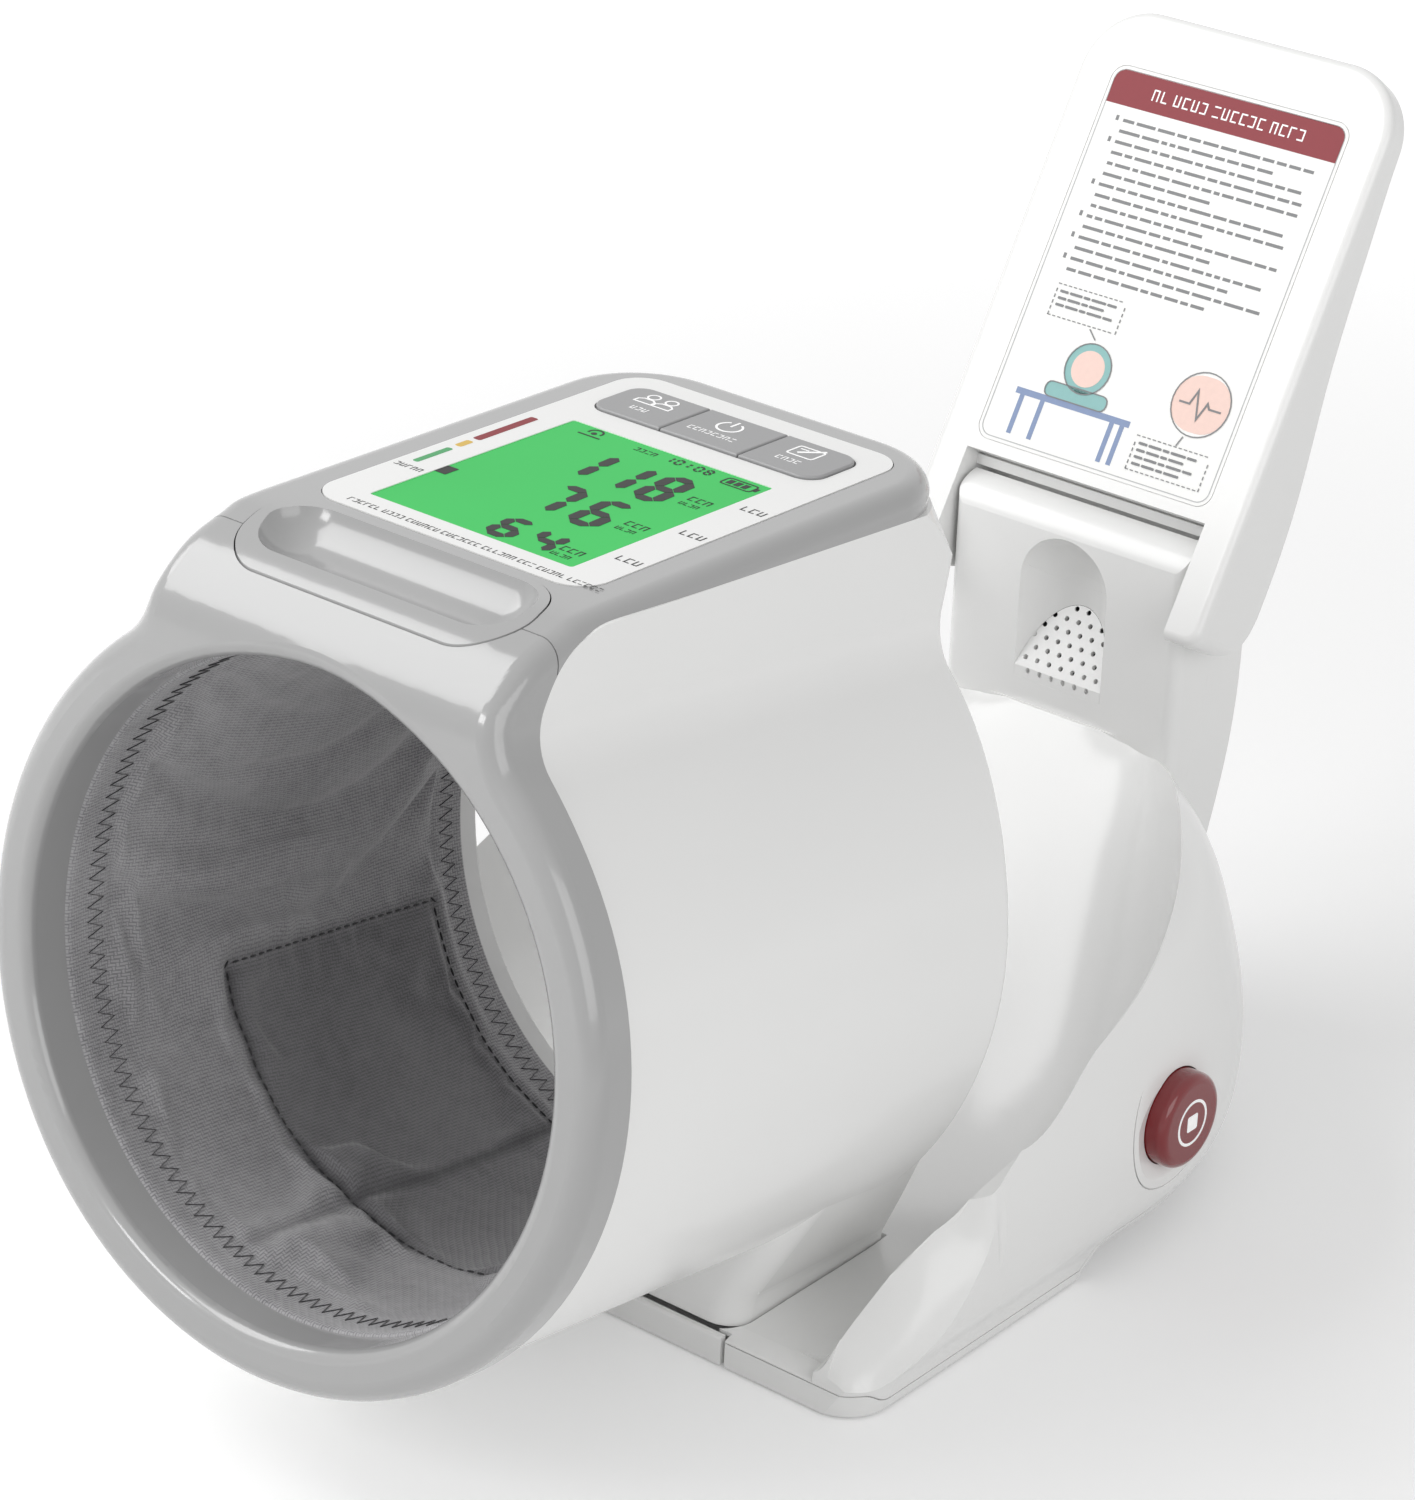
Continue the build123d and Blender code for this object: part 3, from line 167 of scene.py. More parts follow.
@dataclass(frozen=True)
class Finish:
    """What every finish has: a name and a way to make its material once."""

    name: str

    def make(self) -> bpy.types.Material:
        """Builds the material; each finish gives its own."""
        raise NotImplementedError

    def material(self) -> bpy.types.Material:
        """Returns the finish's material, made the first time that it is asked for."""
        return bpy.data.materials.get(self.name) or self.make()


@dataclass(frozen=True)
class MouldedAbs(Finish):
    """Injection-moulded ABS. A polished mould leaves a clear gloss with a faint long ripple in it,
    and a spark-eroded one leaves a fine even grain that breaks the gloss up.

    A coat adds a second, sharper gloss.
    """

    colour: str = "#f2f2f1"
    roughness: float = 0.24
    ripple_mm: float = 14.0
    ripple_height_mm: float = 0.012
    grain_mm: float = 0.5
    grain_height_mm: float = 0.0
    spread: float = 0.012
    coat: float = 0.0
    patch_mm: float = 38.0
    gloss_change: float = 0.03

    def make(self) -> bpy.types.Material:
        """Returns the plastic with its ripple, grain and slightly uneven gloss."""
        material, tree, shader = new_shader(self.name)
        where = add_node(tree, "ShaderNodeTexCoord").outputs["Object"]
        ripple = add_node(
            tree, "ShaderNodeTexNoise",
            {"Vector": where, "Scale": per_metre(self.ripple_mm), "Detail": 1.0},
        )
        grain = add_node(
            tree, "ShaderNodeTexNoise",
            {"Vector": where, "Scale": per_metre(self.grain_mm), "Detail": 2.0, "Roughness": 0.6},
        )
        ripple_bump = add_node(
            tree, "ShaderNodeBump",
            {"Height": ripple.outputs["Fac"], "Distance": self.ripple_height_mm * MM},
        )
        grain_bump = add_node(
            tree, "ShaderNodeBump",
            {
                "Height": grain.outputs["Fac"], "Distance": self.grain_height_mm * MM,
                "Normal": ripple_bump.outputs["Normal"],
            },
        )
        gloss = add_node(
            tree, "ShaderNodeMapRange",
            {
                "Value": grain.outputs["Fac"], "To Min": self.roughness - self.gloss_change,
                "To Max": self.roughness + self.gloss_change,
            },
        )
        feed(tree, shader, {
            "Base Color": uneven_colour(tree, where, self.colour, self.spread, self.patch_mm),
            "Roughness": gloss.outputs["Result"], "Normal": grain_bump.outputs["Normal"],
            "IOR": 1.53, "Coat Weight": self.coat, "Coat Roughness": 0.06,
        })
        return material


@dataclass(frozen=True)
class BacklitDisplay(Finish):
    """A liquid crystal panel lit from behind through a green diffuser, under a clear satin window.
    The light is a little uneven from place to place, as the diffuser leaves it."""

    colour: str = "#38bb5a"
    glow: float = 0.13
    reach_mm: float = 60.0
    dimmest: float = 0.86
    brightest: float = 1.1

    def make(self) -> bpy.types.Material:
        """Returns the lit panel."""
        material, tree, shader = new_shader(self.name)
        where = add_node(tree, "ShaderNodeTexCoord").outputs["Object"]
        patches = add_node(
            tree, "ShaderNodeTexNoise",
            {"Vector": where, "Scale": per_metre(self.reach_mm), "Detail": 1.0},
        )
        evenness = add_node(
            tree, "ShaderNodeMapRange",
            {"Value": patches.outputs["Fac"], "To Min": self.dimmest, "To Max": self.brightest},
        )
        lit = add_node(
            tree, "ShaderNodeVectorMath",
            {0: linear(self.colour)[:3], "Scale": evenness.outputs["Result"]}, operation="SCALE",
        )
        feed(tree, shader, {
            "Base Color": lit.outputs[0], "Emission Color": lit.outputs[0],
            "Emission Strength": self.glow, "Roughness": 0.45, "IOR": 1.3,
        })
        return material


@dataclass(frozen=True)
class Ink(Finish):
    """Screen-printed ink: an even film that is a touch less glossy than the plastic under it. Any
    glow that it is given is painted light.
    """

    colour: str = "#101010"
    roughness: float = 0.38
    glow: float = 0.0

    def make(self) -> bpy.types.Material:
        """Returns the ink, with the slight unevenness of a screen print."""
        material, tree, shader = new_shader(self.name)
        where = add_node(tree, "ShaderNodeTexCoord").outputs["Object"]
        colour = uneven_colour(tree, where, self.colour, 0.05, 1.4)
        feed(tree, shader, {
            "Base Color": colour, "Emission Color": colour, "Emission Strength": self.glow,
            "Roughness": self.roughness,
        })
        return material


@dataclass(frozen=True)
class WovenTwill(Finish):
    """Polyester twill: fine diagonal ribs of crossing threads, a soft sheen at grazing angles, and
    a heathered grey because the threads are not all dyed alike. The real thread is about 0.35 mm;
    it is drawn at thread_mm, coarser, so that the ribs still show. An attribute of the mesh says how
    far each place goes towards the darker colour: the panel's darker cloth, and painted shade along
    the seams."""

    dark: str = "#666568"
    light: str = "#b4b3b5"
    # darker colour for the panel's cloth, and for the painted shade along the seams
    deep: str = "#403f42"
    thread_mm: float = 0.8
    rib_height_mm: float = 0.12
    cloud_mm: float = 26.0

    def make(self) -> bpy.types.Material:
        """Returns the cloth, which reads the piece's UV map, in metres along and across."""
        material, tree, shader = new_shader(self.name)
        where = add_node(tree, "ShaderNodeTexCoord").outputs["Object"]
        uv = add_node(tree, "ShaderNodeUVMap", uv_map="cloth").outputs["UV"]
        scaled = add_node(
            tree, "ShaderNodeVectorMath",
            {0: uv, "Scale": per_metre(self.thread_mm)}, operation="SCALE",
        )
        split = add_node(tree, "ShaderNodeSeparateXYZ", {"Vector": scaled.outputs[0]})
        warp = self._rib(tree, split.outputs["X"])
        weft = self._rib(tree, split.outputs["Y"])
        over = self._over(tree, split.outputs["X"], split.outputs["Y"])
        height = add_node(
            tree, "ShaderNodeMix", {0: over, 2: weft, 3: warp}, data_type="FLOAT"
        ).outputs[0]
        heather = add_node(
            tree, "ShaderNodeTexNoise",
            {"Vector": scaled.outputs[0], "Scale": 0.22, "Detail": 5.0, "Roughness": 0.7},
        )
        cloud = add_node(
            tree, "ShaderNodeTexNoise",
            {"Vector": where, "Scale": per_metre(self.cloud_mm), "Detail": 2.0},
        )
        mottle = add_node(
            tree, "ShaderNodeMath",
            {0: heather.outputs["Fac"], 1: cloud.outputs["Fac"]}, operation="ADD",
        )
        lift = add_node(tree, "ShaderNodeMath", {0: mottle.outputs[0], 1: height}, operation="ADD")
        share = add_node(
            tree, "ShaderNodeMapRange",
            {"Value": lift.outputs[0], "From Min": 0.75, "From Max": 2.1},
        )
        colour = add_node(
            tree, "ShaderNodeMix",
            {0: share.outputs["Result"], 6: linear(self.dark), 7: linear(self.light)},
            data_type="RGBA",
        )
        bump = add_node(
            tree, "ShaderNodeBump",
            {"Height": height, "Strength": 0.6, "Distance": self.rib_height_mm * MM},
        )
        # painted shade along the seams, over the panel's darker cloth
        lot_and_seam_shade = add_node(tree, "ShaderNodeAttribute", attribute_name="lot_and_seam_shade")
        lot_and_shade = add_node(
            tree, "ShaderNodeMix",
            {0: lot_and_seam_shade.outputs["Fac"], 6: colour.outputs[2], 7: linear(self.deep)}, data_type="RGBA",
        )
        feed(tree, shader, {
            "Base Color": lot_and_shade.outputs[2], "Normal": bump.outputs["Normal"], "Roughness": 0.82,
            "Sheen Weight": 0.35, "Sheen Roughness": 0.45,
        })
        return material

    def _rib(self, tree: bpy.types.NodeTree, along: bpy.types.NodeSocket) -> bpy.types.NodeSocket:
        """Shapes one set of threads.

        Args:
            tree: The material's tree.
            along: The place across the threads, in thread widths.

        Returns:
            The rounded height, from 0 to 1.
        """
        phase = add_node(tree, "ShaderNodeMath", {0: along, 1: math.pi}, operation="MULTIPLY")
        wave = add_node(tree, "ShaderNodeMath", {0: phase.outputs[0]}, operation="SINE")
        size = add_node(tree, "ShaderNodeMath", {0: wave.outputs[0]}, operation="ABSOLUTE")
        return size.outputs[0]

    def _over(
        self, tree: bpy.types.NodeTree, x: bpy.types.NodeSocket, y: bpy.types.NodeSocket
    ) -> bpy.types.NodeSocket:
        """Picks the set of threads on top, stepping by one thread a row, as twill does.

        Args:
            tree: The material's tree.
            x: The place across the warp, in thread widths.
            y: The place across the weft, in thread widths.

        Returns:
            1 where the warp lies on top, and 0 elsewhere.
        """
        column = add_node(tree, "ShaderNodeMath", {0: x}, operation="FLOOR")
        row = add_node(tree, "ShaderNodeMath", {0: y}, operation="FLOOR")
        total = add_node(
            tree, "ShaderNodeMath", {0: column.outputs[0], 1: row.outputs[0]}, operation="ADD"
        )
        third = add_node(
            tree, "ShaderNodeMath", {0: total.outputs[0], 1: 3.0}, operation="FLOORED_MODULO"
        )
        return add_node(
            tree, "ShaderNodeMath", {0: third.outputs[0], 1: 1.5}, operation="LESS_THAN"
        ).outputs[0]


@dataclass(frozen=True)
class Thread(Finish):
    """Spun polyester sewing thread: matt, unevenly dyed, with a soft sheen."""

    colour: str = "#29282b"

    def make(self) -> bpy.types.Material:
        """Returns the thread."""
        material, tree, shader = new_shader(self.name)
        where = add_node(tree, "ShaderNodeTexCoord").outputs["Object"]
        colour = uneven_colour(tree, where, self.colour, 0.25, 0.8)
        feed(tree, shader, {"Base Color": colour, "Roughness": 0.7, "Sheen Weight": 0.3})
        return material


@dataclass(frozen=True)
class MouldedRubber(Finish):
    """Moulded rubber: nearly black, matt, with a dusty bloom."""

    colour: str = "#1d1d1e"
    roughness: float = 0.72

    def make(self) -> bpy.types.Material:
        """Returns the rubber."""
        material, tree, shader = new_shader(self.name)
        where = add_node(tree, "ShaderNodeTexCoord").outputs["Object"]
        bloom = add_node(
            tree, "ShaderNodeTexNoise", {"Vector": where, "Scale": per_metre(2.0), "Detail": 4.0}
        )
        dullness = add_node(
            tree, "ShaderNodeMapRange",
            {
                "Value": bloom.outputs["Fac"], "To Min": self.roughness - 0.1,
                "To Max": self.roughness + 0.1,
            },
        )
        bump = add_node(
            tree, "ShaderNodeBump", {"Height": bloom.outputs["Fac"], "Distance": 0.03 * MM}
        )
        feed(tree, shader, {
            "Base Color": uneven_colour(tree, where, self.colour, 0.3, 3.0),
            "Roughness": dullness.outputs["Result"], "Normal": bump.outputs["Normal"],
        })
        return material


@dataclass(frozen=True)
class TurnedSteel(Finish):
    """Turned or drawn steel, bright zinc plated: fine tool marks, a slightly blue white."""

    colour: str = "#b9bcc0"
    roughness: float = 0.3

    def make(self) -> bpy.types.Material:
        """Returns the metal with its fine tool marks."""
        material, tree, shader = new_shader(self.name)
        where = add_node(tree, "ShaderNodeTexCoord").outputs["Object"]
        marks = add_node(
            tree, "ShaderNodeTexNoise",
            {"Vector": where, "Scale": per_metre(0.4), "Detail": 3.0, "Distortion": 0.4},
        )
        polish = add_node(
            tree, "ShaderNodeMapRange",
            {
                "Value": marks.outputs["Fac"], "To Min": self.roughness - 0.08,
                "To Max": self.roughness + 0.1,
            },
        )
        feed(tree, shader, {
            "Base Color": uneven_colour(tree, where, self.colour, 0.06, 4.0),
            "Roughness": polish.outputs["Result"], "Metallic": 1.0,
        })
        return material


@dataclass(frozen=True)
class CellJacket(Finish):
    """A dry cell's shrink sleeve: glossy film in two plain bands."""

    colour: str = "#2b4a7a"
    band: str = "#c9ccd0"
    length_mm: float = 50.0

    def make(self) -> bpy.types.Material:
        """Returns the sleeve, banded along the cell."""
        material, tree, shader = new_shader(self.name)
        where = add_node(tree, "ShaderNodeTexCoord").outputs["Object"]
        wave = add_node(
            tree, "ShaderNodeTexWave",
            {"Vector": where, "Scale": per_metre(self.length_mm) / 6.28},
            bands_direction="Y",
        )
        step = add_node(
            tree, "ShaderNodeMath", {0: wave.outputs["Fac"], 1: 0.8}, operation="GREATER_THAN"
        )
        mix = add_node(
            tree, "ShaderNodeMix",
            {0: step.outputs[0], 6: linear(self.colour), 7: linear(self.band)}, data_type="RGBA",
        )
        feed(tree, shader, {"Base Color": mix.outputs[2], "Roughness": 0.22, "Metallic": 0.35})
        return material


@dataclass(frozen=True)
class CircuitBoard(Finish):
    """Glass-epoxy board under green solder mask: copper tracks show as lighter straight runs."""

    mask: str = "#0e4a2a"
    track: str = "#1f7044"
    cell_mm: float = 3.2

    def make(self) -> bpy.types.Material:
        """Returns the board with its tracks."""
        material, tree, shader = new_shader(self.name)
        where = add_node(tree, "ShaderNodeTexCoord").outputs["Object"]
        tracks = add_node(
            tree, "ShaderNodeTexBrick",
            {
                "Vector": where, "Scale": per_metre(self.cell_mm), "Mortar Size": 0.06,
                "Color1": linear(self.mask), "Color2": linear(self.mask),
                "Mortar": linear(self.track),
            },
        )
        bump = add_node(
            tree, "ShaderNodeBump", {"Height": tracks.outputs["Fac"], "Distance": 0.03 * MM}
        )
        feed(tree, shader, {
            "Base Color": tracks.outputs["Color"], "Normal": bump.outputs["Normal"],
            "Roughness": 0.35,
        })
        return material


@dataclass(frozen=True)
class SiliconeTube(Finish):
    """Extruded silicone tube: milky, soft gloss, light passes a little way in."""

    colour: str = "#d8dcdc"

    def make(self) -> bpy.types.Material:
        """Returns the silicone."""
        material, tree, shader = new_shader(self.name)
        where = add_node(tree, "ShaderNodeTexCoord").outputs["Object"]
        feed(tree, shader, {
            "Base Color": uneven_colour(tree, where, self.colour, 0.05, 5.0), "Roughness": 0.32,
            "Subsurface Weight": 0.3, "Subsurface Scale": 1.5 * MM,
        })
        return material


@dataclass(frozen=True)
class CoatedCard(Finish):
    """Coated white card under a satin film, with the least waviness from its paste."""

    colour: str = "#f4f4f2"

    def make(self) -> bpy.types.Material:
        """Returns the card."""
        material, tree, shader = new_shader(self.name)
        where = add_node(tree, "ShaderNodeTexCoord").outputs["Object"]
        fibre = add_node(
            tree, "ShaderNodeTexNoise", {"Vector": where, "Scale": per_metre(9.0), "Detail": 4.0}
        )
        bump = add_node(
            tree, "ShaderNodeBump", {"Height": fibre.outputs["Fac"], "Distance": 0.04 * MM}
        )
        feed(tree, shader, {
            "Base Color": uneven_colour(tree, where, self.colour, 0.01, 20.0),
            "Normal": bump.outputs["Normal"], "Roughness": 0.36,
        })
        return material


WHITE_ABS = MouldedAbs("white gloss ABS", "#efefee", 0.2, ripple_mm=40.0)
PANEL_ABS = MouldedAbs("white satin ABS", "#efefee", 0.34, ripple_mm=40.0)
GREY_ABS = MouldedAbs("mid grey gloss ABS", "#a4a4a4", 0.2, ripple_mm=60.0, spread=0.006, coat=0.5)
KEY_ABS = MouldedAbs("key grey satin ABS", "#9b9b9c", 0.4, ripple_mm=60.0, spread=0.01)
RED_ABS = MouldedAbs("deep red gloss ABS", "#7c0d16", 0.14, spread=0.04, coat=0.3)
DARK_ABS = MouldedAbs("black textured ABS", "#2a2b2d", 0.5, grain_height_mm=0.03, spread=0.1)
DRUM_ABS = MouldedAbs("natural ABS", "#d9d6cc", 0.5, grain_height_mm=0.02, spread=0.05)
DISPLAY = BacklitDisplay("backlit display")
BLACK_INK = Ink("black ink", "#050605", 0.5)
# the white ink is given a painted glow, so that its signs shine as if lit
WHITE_INK_PAINTED_GLOW = Ink("white ink", "#f7f7f7", 0.4, 0.15)
GREY_INK = Ink("grey ink", "#77787a", 0.4)
SOFT_INK = Ink("pale grey ink", "#b9babb", 0.4)
RED_INK = Ink("red ink", "#86202b", 0.5)
GREEN_INK = Ink("green ink", "#2f9d57", 0.35)
YELLOW_INK = Ink("yellow ink", "#d9b23c", 0.35)
TEAL_INK = Ink("teal ink", "#84b7b5", 0.4)
BLUE_INK = Ink("slate blue ink", "#7c8fb4", 0.4)
BLUSH_INK = Ink("blush ink", "#efcfc4", 0.4)
TWILL = WovenTwill("grey polyester twill")
THREAD = Thread("grey sewing thread")
RUBBER = MouldedRubber("black rubber")
BLADDER = MouldedRubber("bladder rubber", "#2f2f33", 0.55)
STEEL = TurnedSteel("zinc plated steel")
JACKET = CellJacket("dry cell sleeve")
BOARD = CircuitBoard("green circuit board")
SILICONE = SiliconeTube("silicone tube")
CARD = CoatedCard("coated card")


# ---------------------------------------------------------------- places, meshes and printing


@dataclass(frozen=True)
class Place:
    """A flat face of the machine: its origin in millimetres, and its right, up and outward axes."""

    origin: tuple[float, float, float]
    right: Vector
    up: Vector

    @property
    def out(self) -> Vector:
        """The direction that the face looks in."""
        return self.right.cross(self.up)

    def at(self, x: float, y: float, height: float = 0.0) -> Vector:
        """Returns the point x to the right, y up and height off the face, in metres."""
        spot = Vector(self.origin) + self.right * x + self.up * y + self.out * height
        return spot * MM


def leaning(origin: tuple[float, float, float], degrees: float) -> Place:
    """Returns a face whose right is the machine's right and whose up axis rises by the angle."""
    angle = math.radians(degrees)
    return Place(origin, Vector((1, 0, 0)), Vector((0, math.cos(angle), math.sin(angle))))


def new_piece(
    name: str, mesh: bpy.types.Mesh, finish: Finish, body: str
) -> bpy.types.Object:
    """Makes an object of a mesh, gives it its finish and joins it to a moving body.

    Args:
        name: The piece's name.
        mesh: Its mesh, in the machine's frame.
        finish: What it is made of.
        body: The body that carries it.

    Returns:
        The object.
    """
    piece = bpy.data.objects.new(name, mesh)
    bpy.context.scene.collection.objects.link(piece)
    mesh.materials.clear()
    mesh.materials.append(finish.material())
    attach(piece, body)
    LOG.info("piece %s on %s: %d faces", name, body, len(mesh.polygons))
    return piece


def dress(finish: Finish, *nodes: str) -> None:
    """Gives solids of the frame their finish.

    Args:
        finish: What they are made of.
        *nodes: Names of the solids.
    """
    for node in nodes:
        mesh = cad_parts[node].data
        mesh.materials.clear()
        mesh.materials.append(finish.material())
        LOG.info("finish %s on %s", finish.name, node)


def circle(x: float, y: float, radius: float, steps: int = 28) -> list[Point]:
    """Returns a round outline."""
    turn = 2 * math.pi / steps
    return [
        (x + radius * math.cos(turn * i), y + radius * math.sin(turn * i)) for i in range(steps)
    ]


def rectangle(x0: float, y0: float, x1: float, y1: float) -> list[Point]:
    """Returns a square-cornered outline."""
    return [(x0, y0), (x1, y0), (x1, y1), (x0, y1)]


def rounded(
    x0: float, y0: float, x1: float, y1: float, radius: float, steps: int = 6
) -> list[Point]:
    """Draws an outline with four round corners.

    Args:
        x0: Left edge.
        y0: Lower edge.
        x1: Right edge.
        y1: Upper edge.
        radius: Radius of each corner.
        steps: Number of sides that each corner is made of.

    Returns:
        The outline, anticlockwise.
    """
    centres = ((x1 - radius, y0 + radius), (x1 - radius, y1 - radius),
               (x0 + radius, y1 - radius), (x0 + radius, y0 + radius))
    outline = []
    for quarter, (cx, cy) in enumerate(centres):
        for i in range(steps + 1):
            angle = math.pi / 2 * (quarter - 1 + i / steps)
            outline.append((cx + radius * math.cos(angle), cy + radius * math.sin(angle)))
    return outline


class Print:
    """Marks printed on one face, gathered as thin raised films in one mesh."""

    FILM_MM = 0.05
    SHARPEST_MITRE = 0.35
    ARC_STEP_DEGREES = 12

    def __init__(self, place: Place, height_mm: float) -> None:
        """Starts an empty print.

        Args:
            place: The face.
            height_mm: How far the film's underside lies off the face's origin.
        """
        self.place = place
        self.low = height_mm
        self.mesh = bmesh.new()

    def area(self, outline: Sequence[Point]) -> None:
        """Prints the inside of an outline.

        Args:
            outline: Its corners, anticlockwise.
        """
        high = self.low + self.FILM_MM
        top = [self.mesh.verts.new(self.place.at(x, y, high)) for x, y in outline]
        foot = [self.mesh.verts.new(self.place.at(x, y, self.low)) for x, y in outline]
        self.mesh.faces.new(top)
        self.mesh.faces.new(list(reversed(foot)))
        for i, corner in enumerate(top):
            after = (i + 1) % len(top)
            self.mesh.faces.new((corner, foot[i], foot[after], top[after]))

    def line(self, path: Sequence[Point], width: float, closed: bool = False) -> None:
        """Prints a line of even width along a path, mitred at its corners.

        Args:
            path: The line's corners.
            width: Its width.
            closed: Whether the last corner joins the first.
        """
        count = len(path)
        left, right = [], []
        for i, (x, y) in enumerate(path):
            before = Vector(path[i - 1]) if (i or closed) else None
            after = Vector(path[(i + 1) % count]) if (i < count - 1 or closed) else None
            here = Vector((x, y))
            a = (here - before).normalized() if before else (after - here).normalized()
            b = (after - here).normalized() if after else a
            side = Vector((-a.y - b.y, a.x + b.x)).normalized()
            reach = width / 2 / max(self.SHARPEST_MITRE, side.dot(Vector((-a.y, a.x))))
            left.append(here + side * reach)
            right.append(here - side * reach)
        for i in range(count if closed else count - 1):
            j = (i + 1) % count
            self.area([tuple(p) for p in (right[i], right[j], left[j], left[i])])

    def arc(
        self, x: float, y: float, radius: float, start: float, end: float, width: float
    ) -> None:
        """Prints part of a ring, or all of it.

        Args:
            x: Middle of the ring.
            y: Middle of the ring.
            radius: Radius of the line's middle.
            start: Angle that it starts at, in degrees.
            end: Angle that it ends at, in degrees.
            width: Width of the line.
        """
        steps = max(4, int(abs(end - start) / self.ARC_STEP_DEGREES))
        path = []
        for i in range(steps + 1):
            angle = math.radians(start + (end - start) * i / steps)
            path.append((x + radius * math.cos(angle), y + radius * math.sin(angle)))
        if abs(end - start) >= 360:
            self.line(path[:-1], width, closed=True)
        else:
            self.line(path, width)

    def bars(
        self, x: float, y: float, lengths: Iterable[float], height: float, gap: float
    ) -> None:
        """Prints a row of short bars that stand for words too small to read.

        Args:
            x: Left end.
            y: Foot of the bars.
            lengths: Length of each bar.
            height: Height of the bars.
            gap: Space between two bars.
        """
        for length in lengths:
            self.area(rounded(x, y, x + length, y + height, min(length, height) * 0.3, 2))
            x += length + gap

    def scrawl(
        self, x: float, y: float, letters: Sequence[int], height: float, seed: int
    ) -> None:
        """Prints groups of letter-like strokes that say nothing.

        Args:
            x: Left end.
            y: Foot of the strokes.
            letters: How many signs each group has.
            height: Height of a sign.
            seed: Picks the strokes.
        """
        wide, pen = height * 0.55, height * 0.15
        for count in letters:
            for _ in range(count):
                seed = (seed * 73 + 41) % 997
                corners = ((0, 0), (0, height), (wide, height), (wide, 0))
                for i in range(4):
                    if i == seed % 4 or (i == 2 and seed % 3 == 0):
                        continue
                    (ax, ay), (bx, by) = corners[i], corners[(i + 1) % 4]
                    low_x, high_x = sorted((ax, bx))
                    low_y, high_y = sorted((ay, by))
                    self.area(rectangle(x + low_x, y + low_y, x + high_x + pen, y + high_y + pen))
                x += wide + pen * 3.2
            x += wide * 0.8

    def finished(self, name: str, ink: Finish, body: str) -> bpy.types.Object:
        """Turns the print into a piece.

        Args:
            name: The piece's name.
            ink: What it is printed with.
            body: The body that carries it.

        Returns:
            The piece.
        """
        mesh = bpy.data.meshes.new(name)
        self.mesh.to_mesh(mesh)
        self.mesh.free()
        return new_piece(name, mesh, ink, body)


class Segment(Enum):
    """The seven strokes of a segment digit: both ends, as shares of its width and height."""

    TOP = ((0, 1), (1, 1))
    UPPER_RIGHT = ((1, 1), (1, 0.5))
    LOWER_RIGHT = ((1, 0.5), (1, 0))
    BOTTOM = ((0, 0), (1, 0))
    LOWER_LEFT = ((0, 0.5), (0, 0))
    UPPER_LEFT = ((0, 1), (0, 0.5))
    MIDDLE = ((0, 0.5), (1, 0.5))


LIT_SEGMENTS = {
    "0": "TOP UPPER_RIGHT LOWER_RIGHT BOTTOM LOWER_LEFT UPPER_LEFT",
    "1": "UPPER_RIGHT LOWER_RIGHT",
    "2": "TOP UPPER_RIGHT MIDDLE LOWER_LEFT BOTTOM",
    "3": "TOP UPPER_RIGHT MIDDLE LOWER_RIGHT BOTTOM",
    "4": "UPPER_LEFT MIDDLE UPPER_RIGHT LOWER_RIGHT",
    "5": "TOP UPPER_LEFT MIDDLE LOWER_RIGHT BOTTOM",
    "6": "TOP UPPER_LEFT MIDDLE LOWER_RIGHT BOTTOM LOWER_LEFT",
    "7": "TOP UPPER_RIGHT LOWER_RIGHT",
    "8": "TOP UPPER_RIGHT LOWER_RIGHT BOTTOM LOWER_LEFT UPPER_LEFT MIDDLE",
    "9": "TOP UPPER_LEFT MIDDLE UPPER_RIGHT LOWER_RIGHT BOTTOM",
}


@dataclass(frozen=True)
class DigitRow:
    """A row of seven-segment digits. Sizes are in millimetres."""

    text: str
    right: float
    foot: float
    width: float
    height: float
    pitch: float
    stroke: float
    slant: float = -0.04
    gap: float = 0.12

    def onto(self, sheet: Print) -> None:
        """Prints the row so that its last digit ends at the right edge.

        Args:
            sheet: The print that it goes on.
        """
        for place, sign in enumerate(reversed(self.text)):
            x = self.right - self.width - place * self.pitch
            if sign == ":":
                for share in (0.3, 0.7):
                    side = self.stroke * 0.6
                    cx, cy = x + self.width / 2, self.foot + self.height * share
                    sheet.area(rectangle(cx - side, cy - side, cx + side, cy + side))
                continue
            for name in LIT_SEGMENTS[sign].split():
                self._stroke(sheet, x, Segment[name])

    def _stroke(self, sheet: Print, x: float, segment: Segment) -> None:
        """Prints one stroke as a bar with pointed ends.

        Args:
            sheet: The print that it goes on.
            x: Left edge of the digit.
            segment: The stroke.
        """
        half = self.stroke / 2
        inner_w, inner_h = self.width - self.stroke, self.height - self.stroke
        (ax, ay), (bx, by) = segment.value
        a = Vector((ax * inner_w + half, ay * inner_h + half))
        b = Vector((bx * inner_w + half, by * inner_h + half))
        along = (b - a).normalized()
        side = Vector((-along.y, along.x)) * half
        trim = along * (half + self.gap)
        nudge = along * self.gap
        outline = [
            a + nudge, a + trim - side, b - trim - side, b - nudge, b - trim + side, a + trim + side,
        ]
        sheet.area([(x + p.x + p.y * self.slant, self.foot + p.y) for p in outline])


# ---------------------------------------------------------------- repeats made by geometry nodes


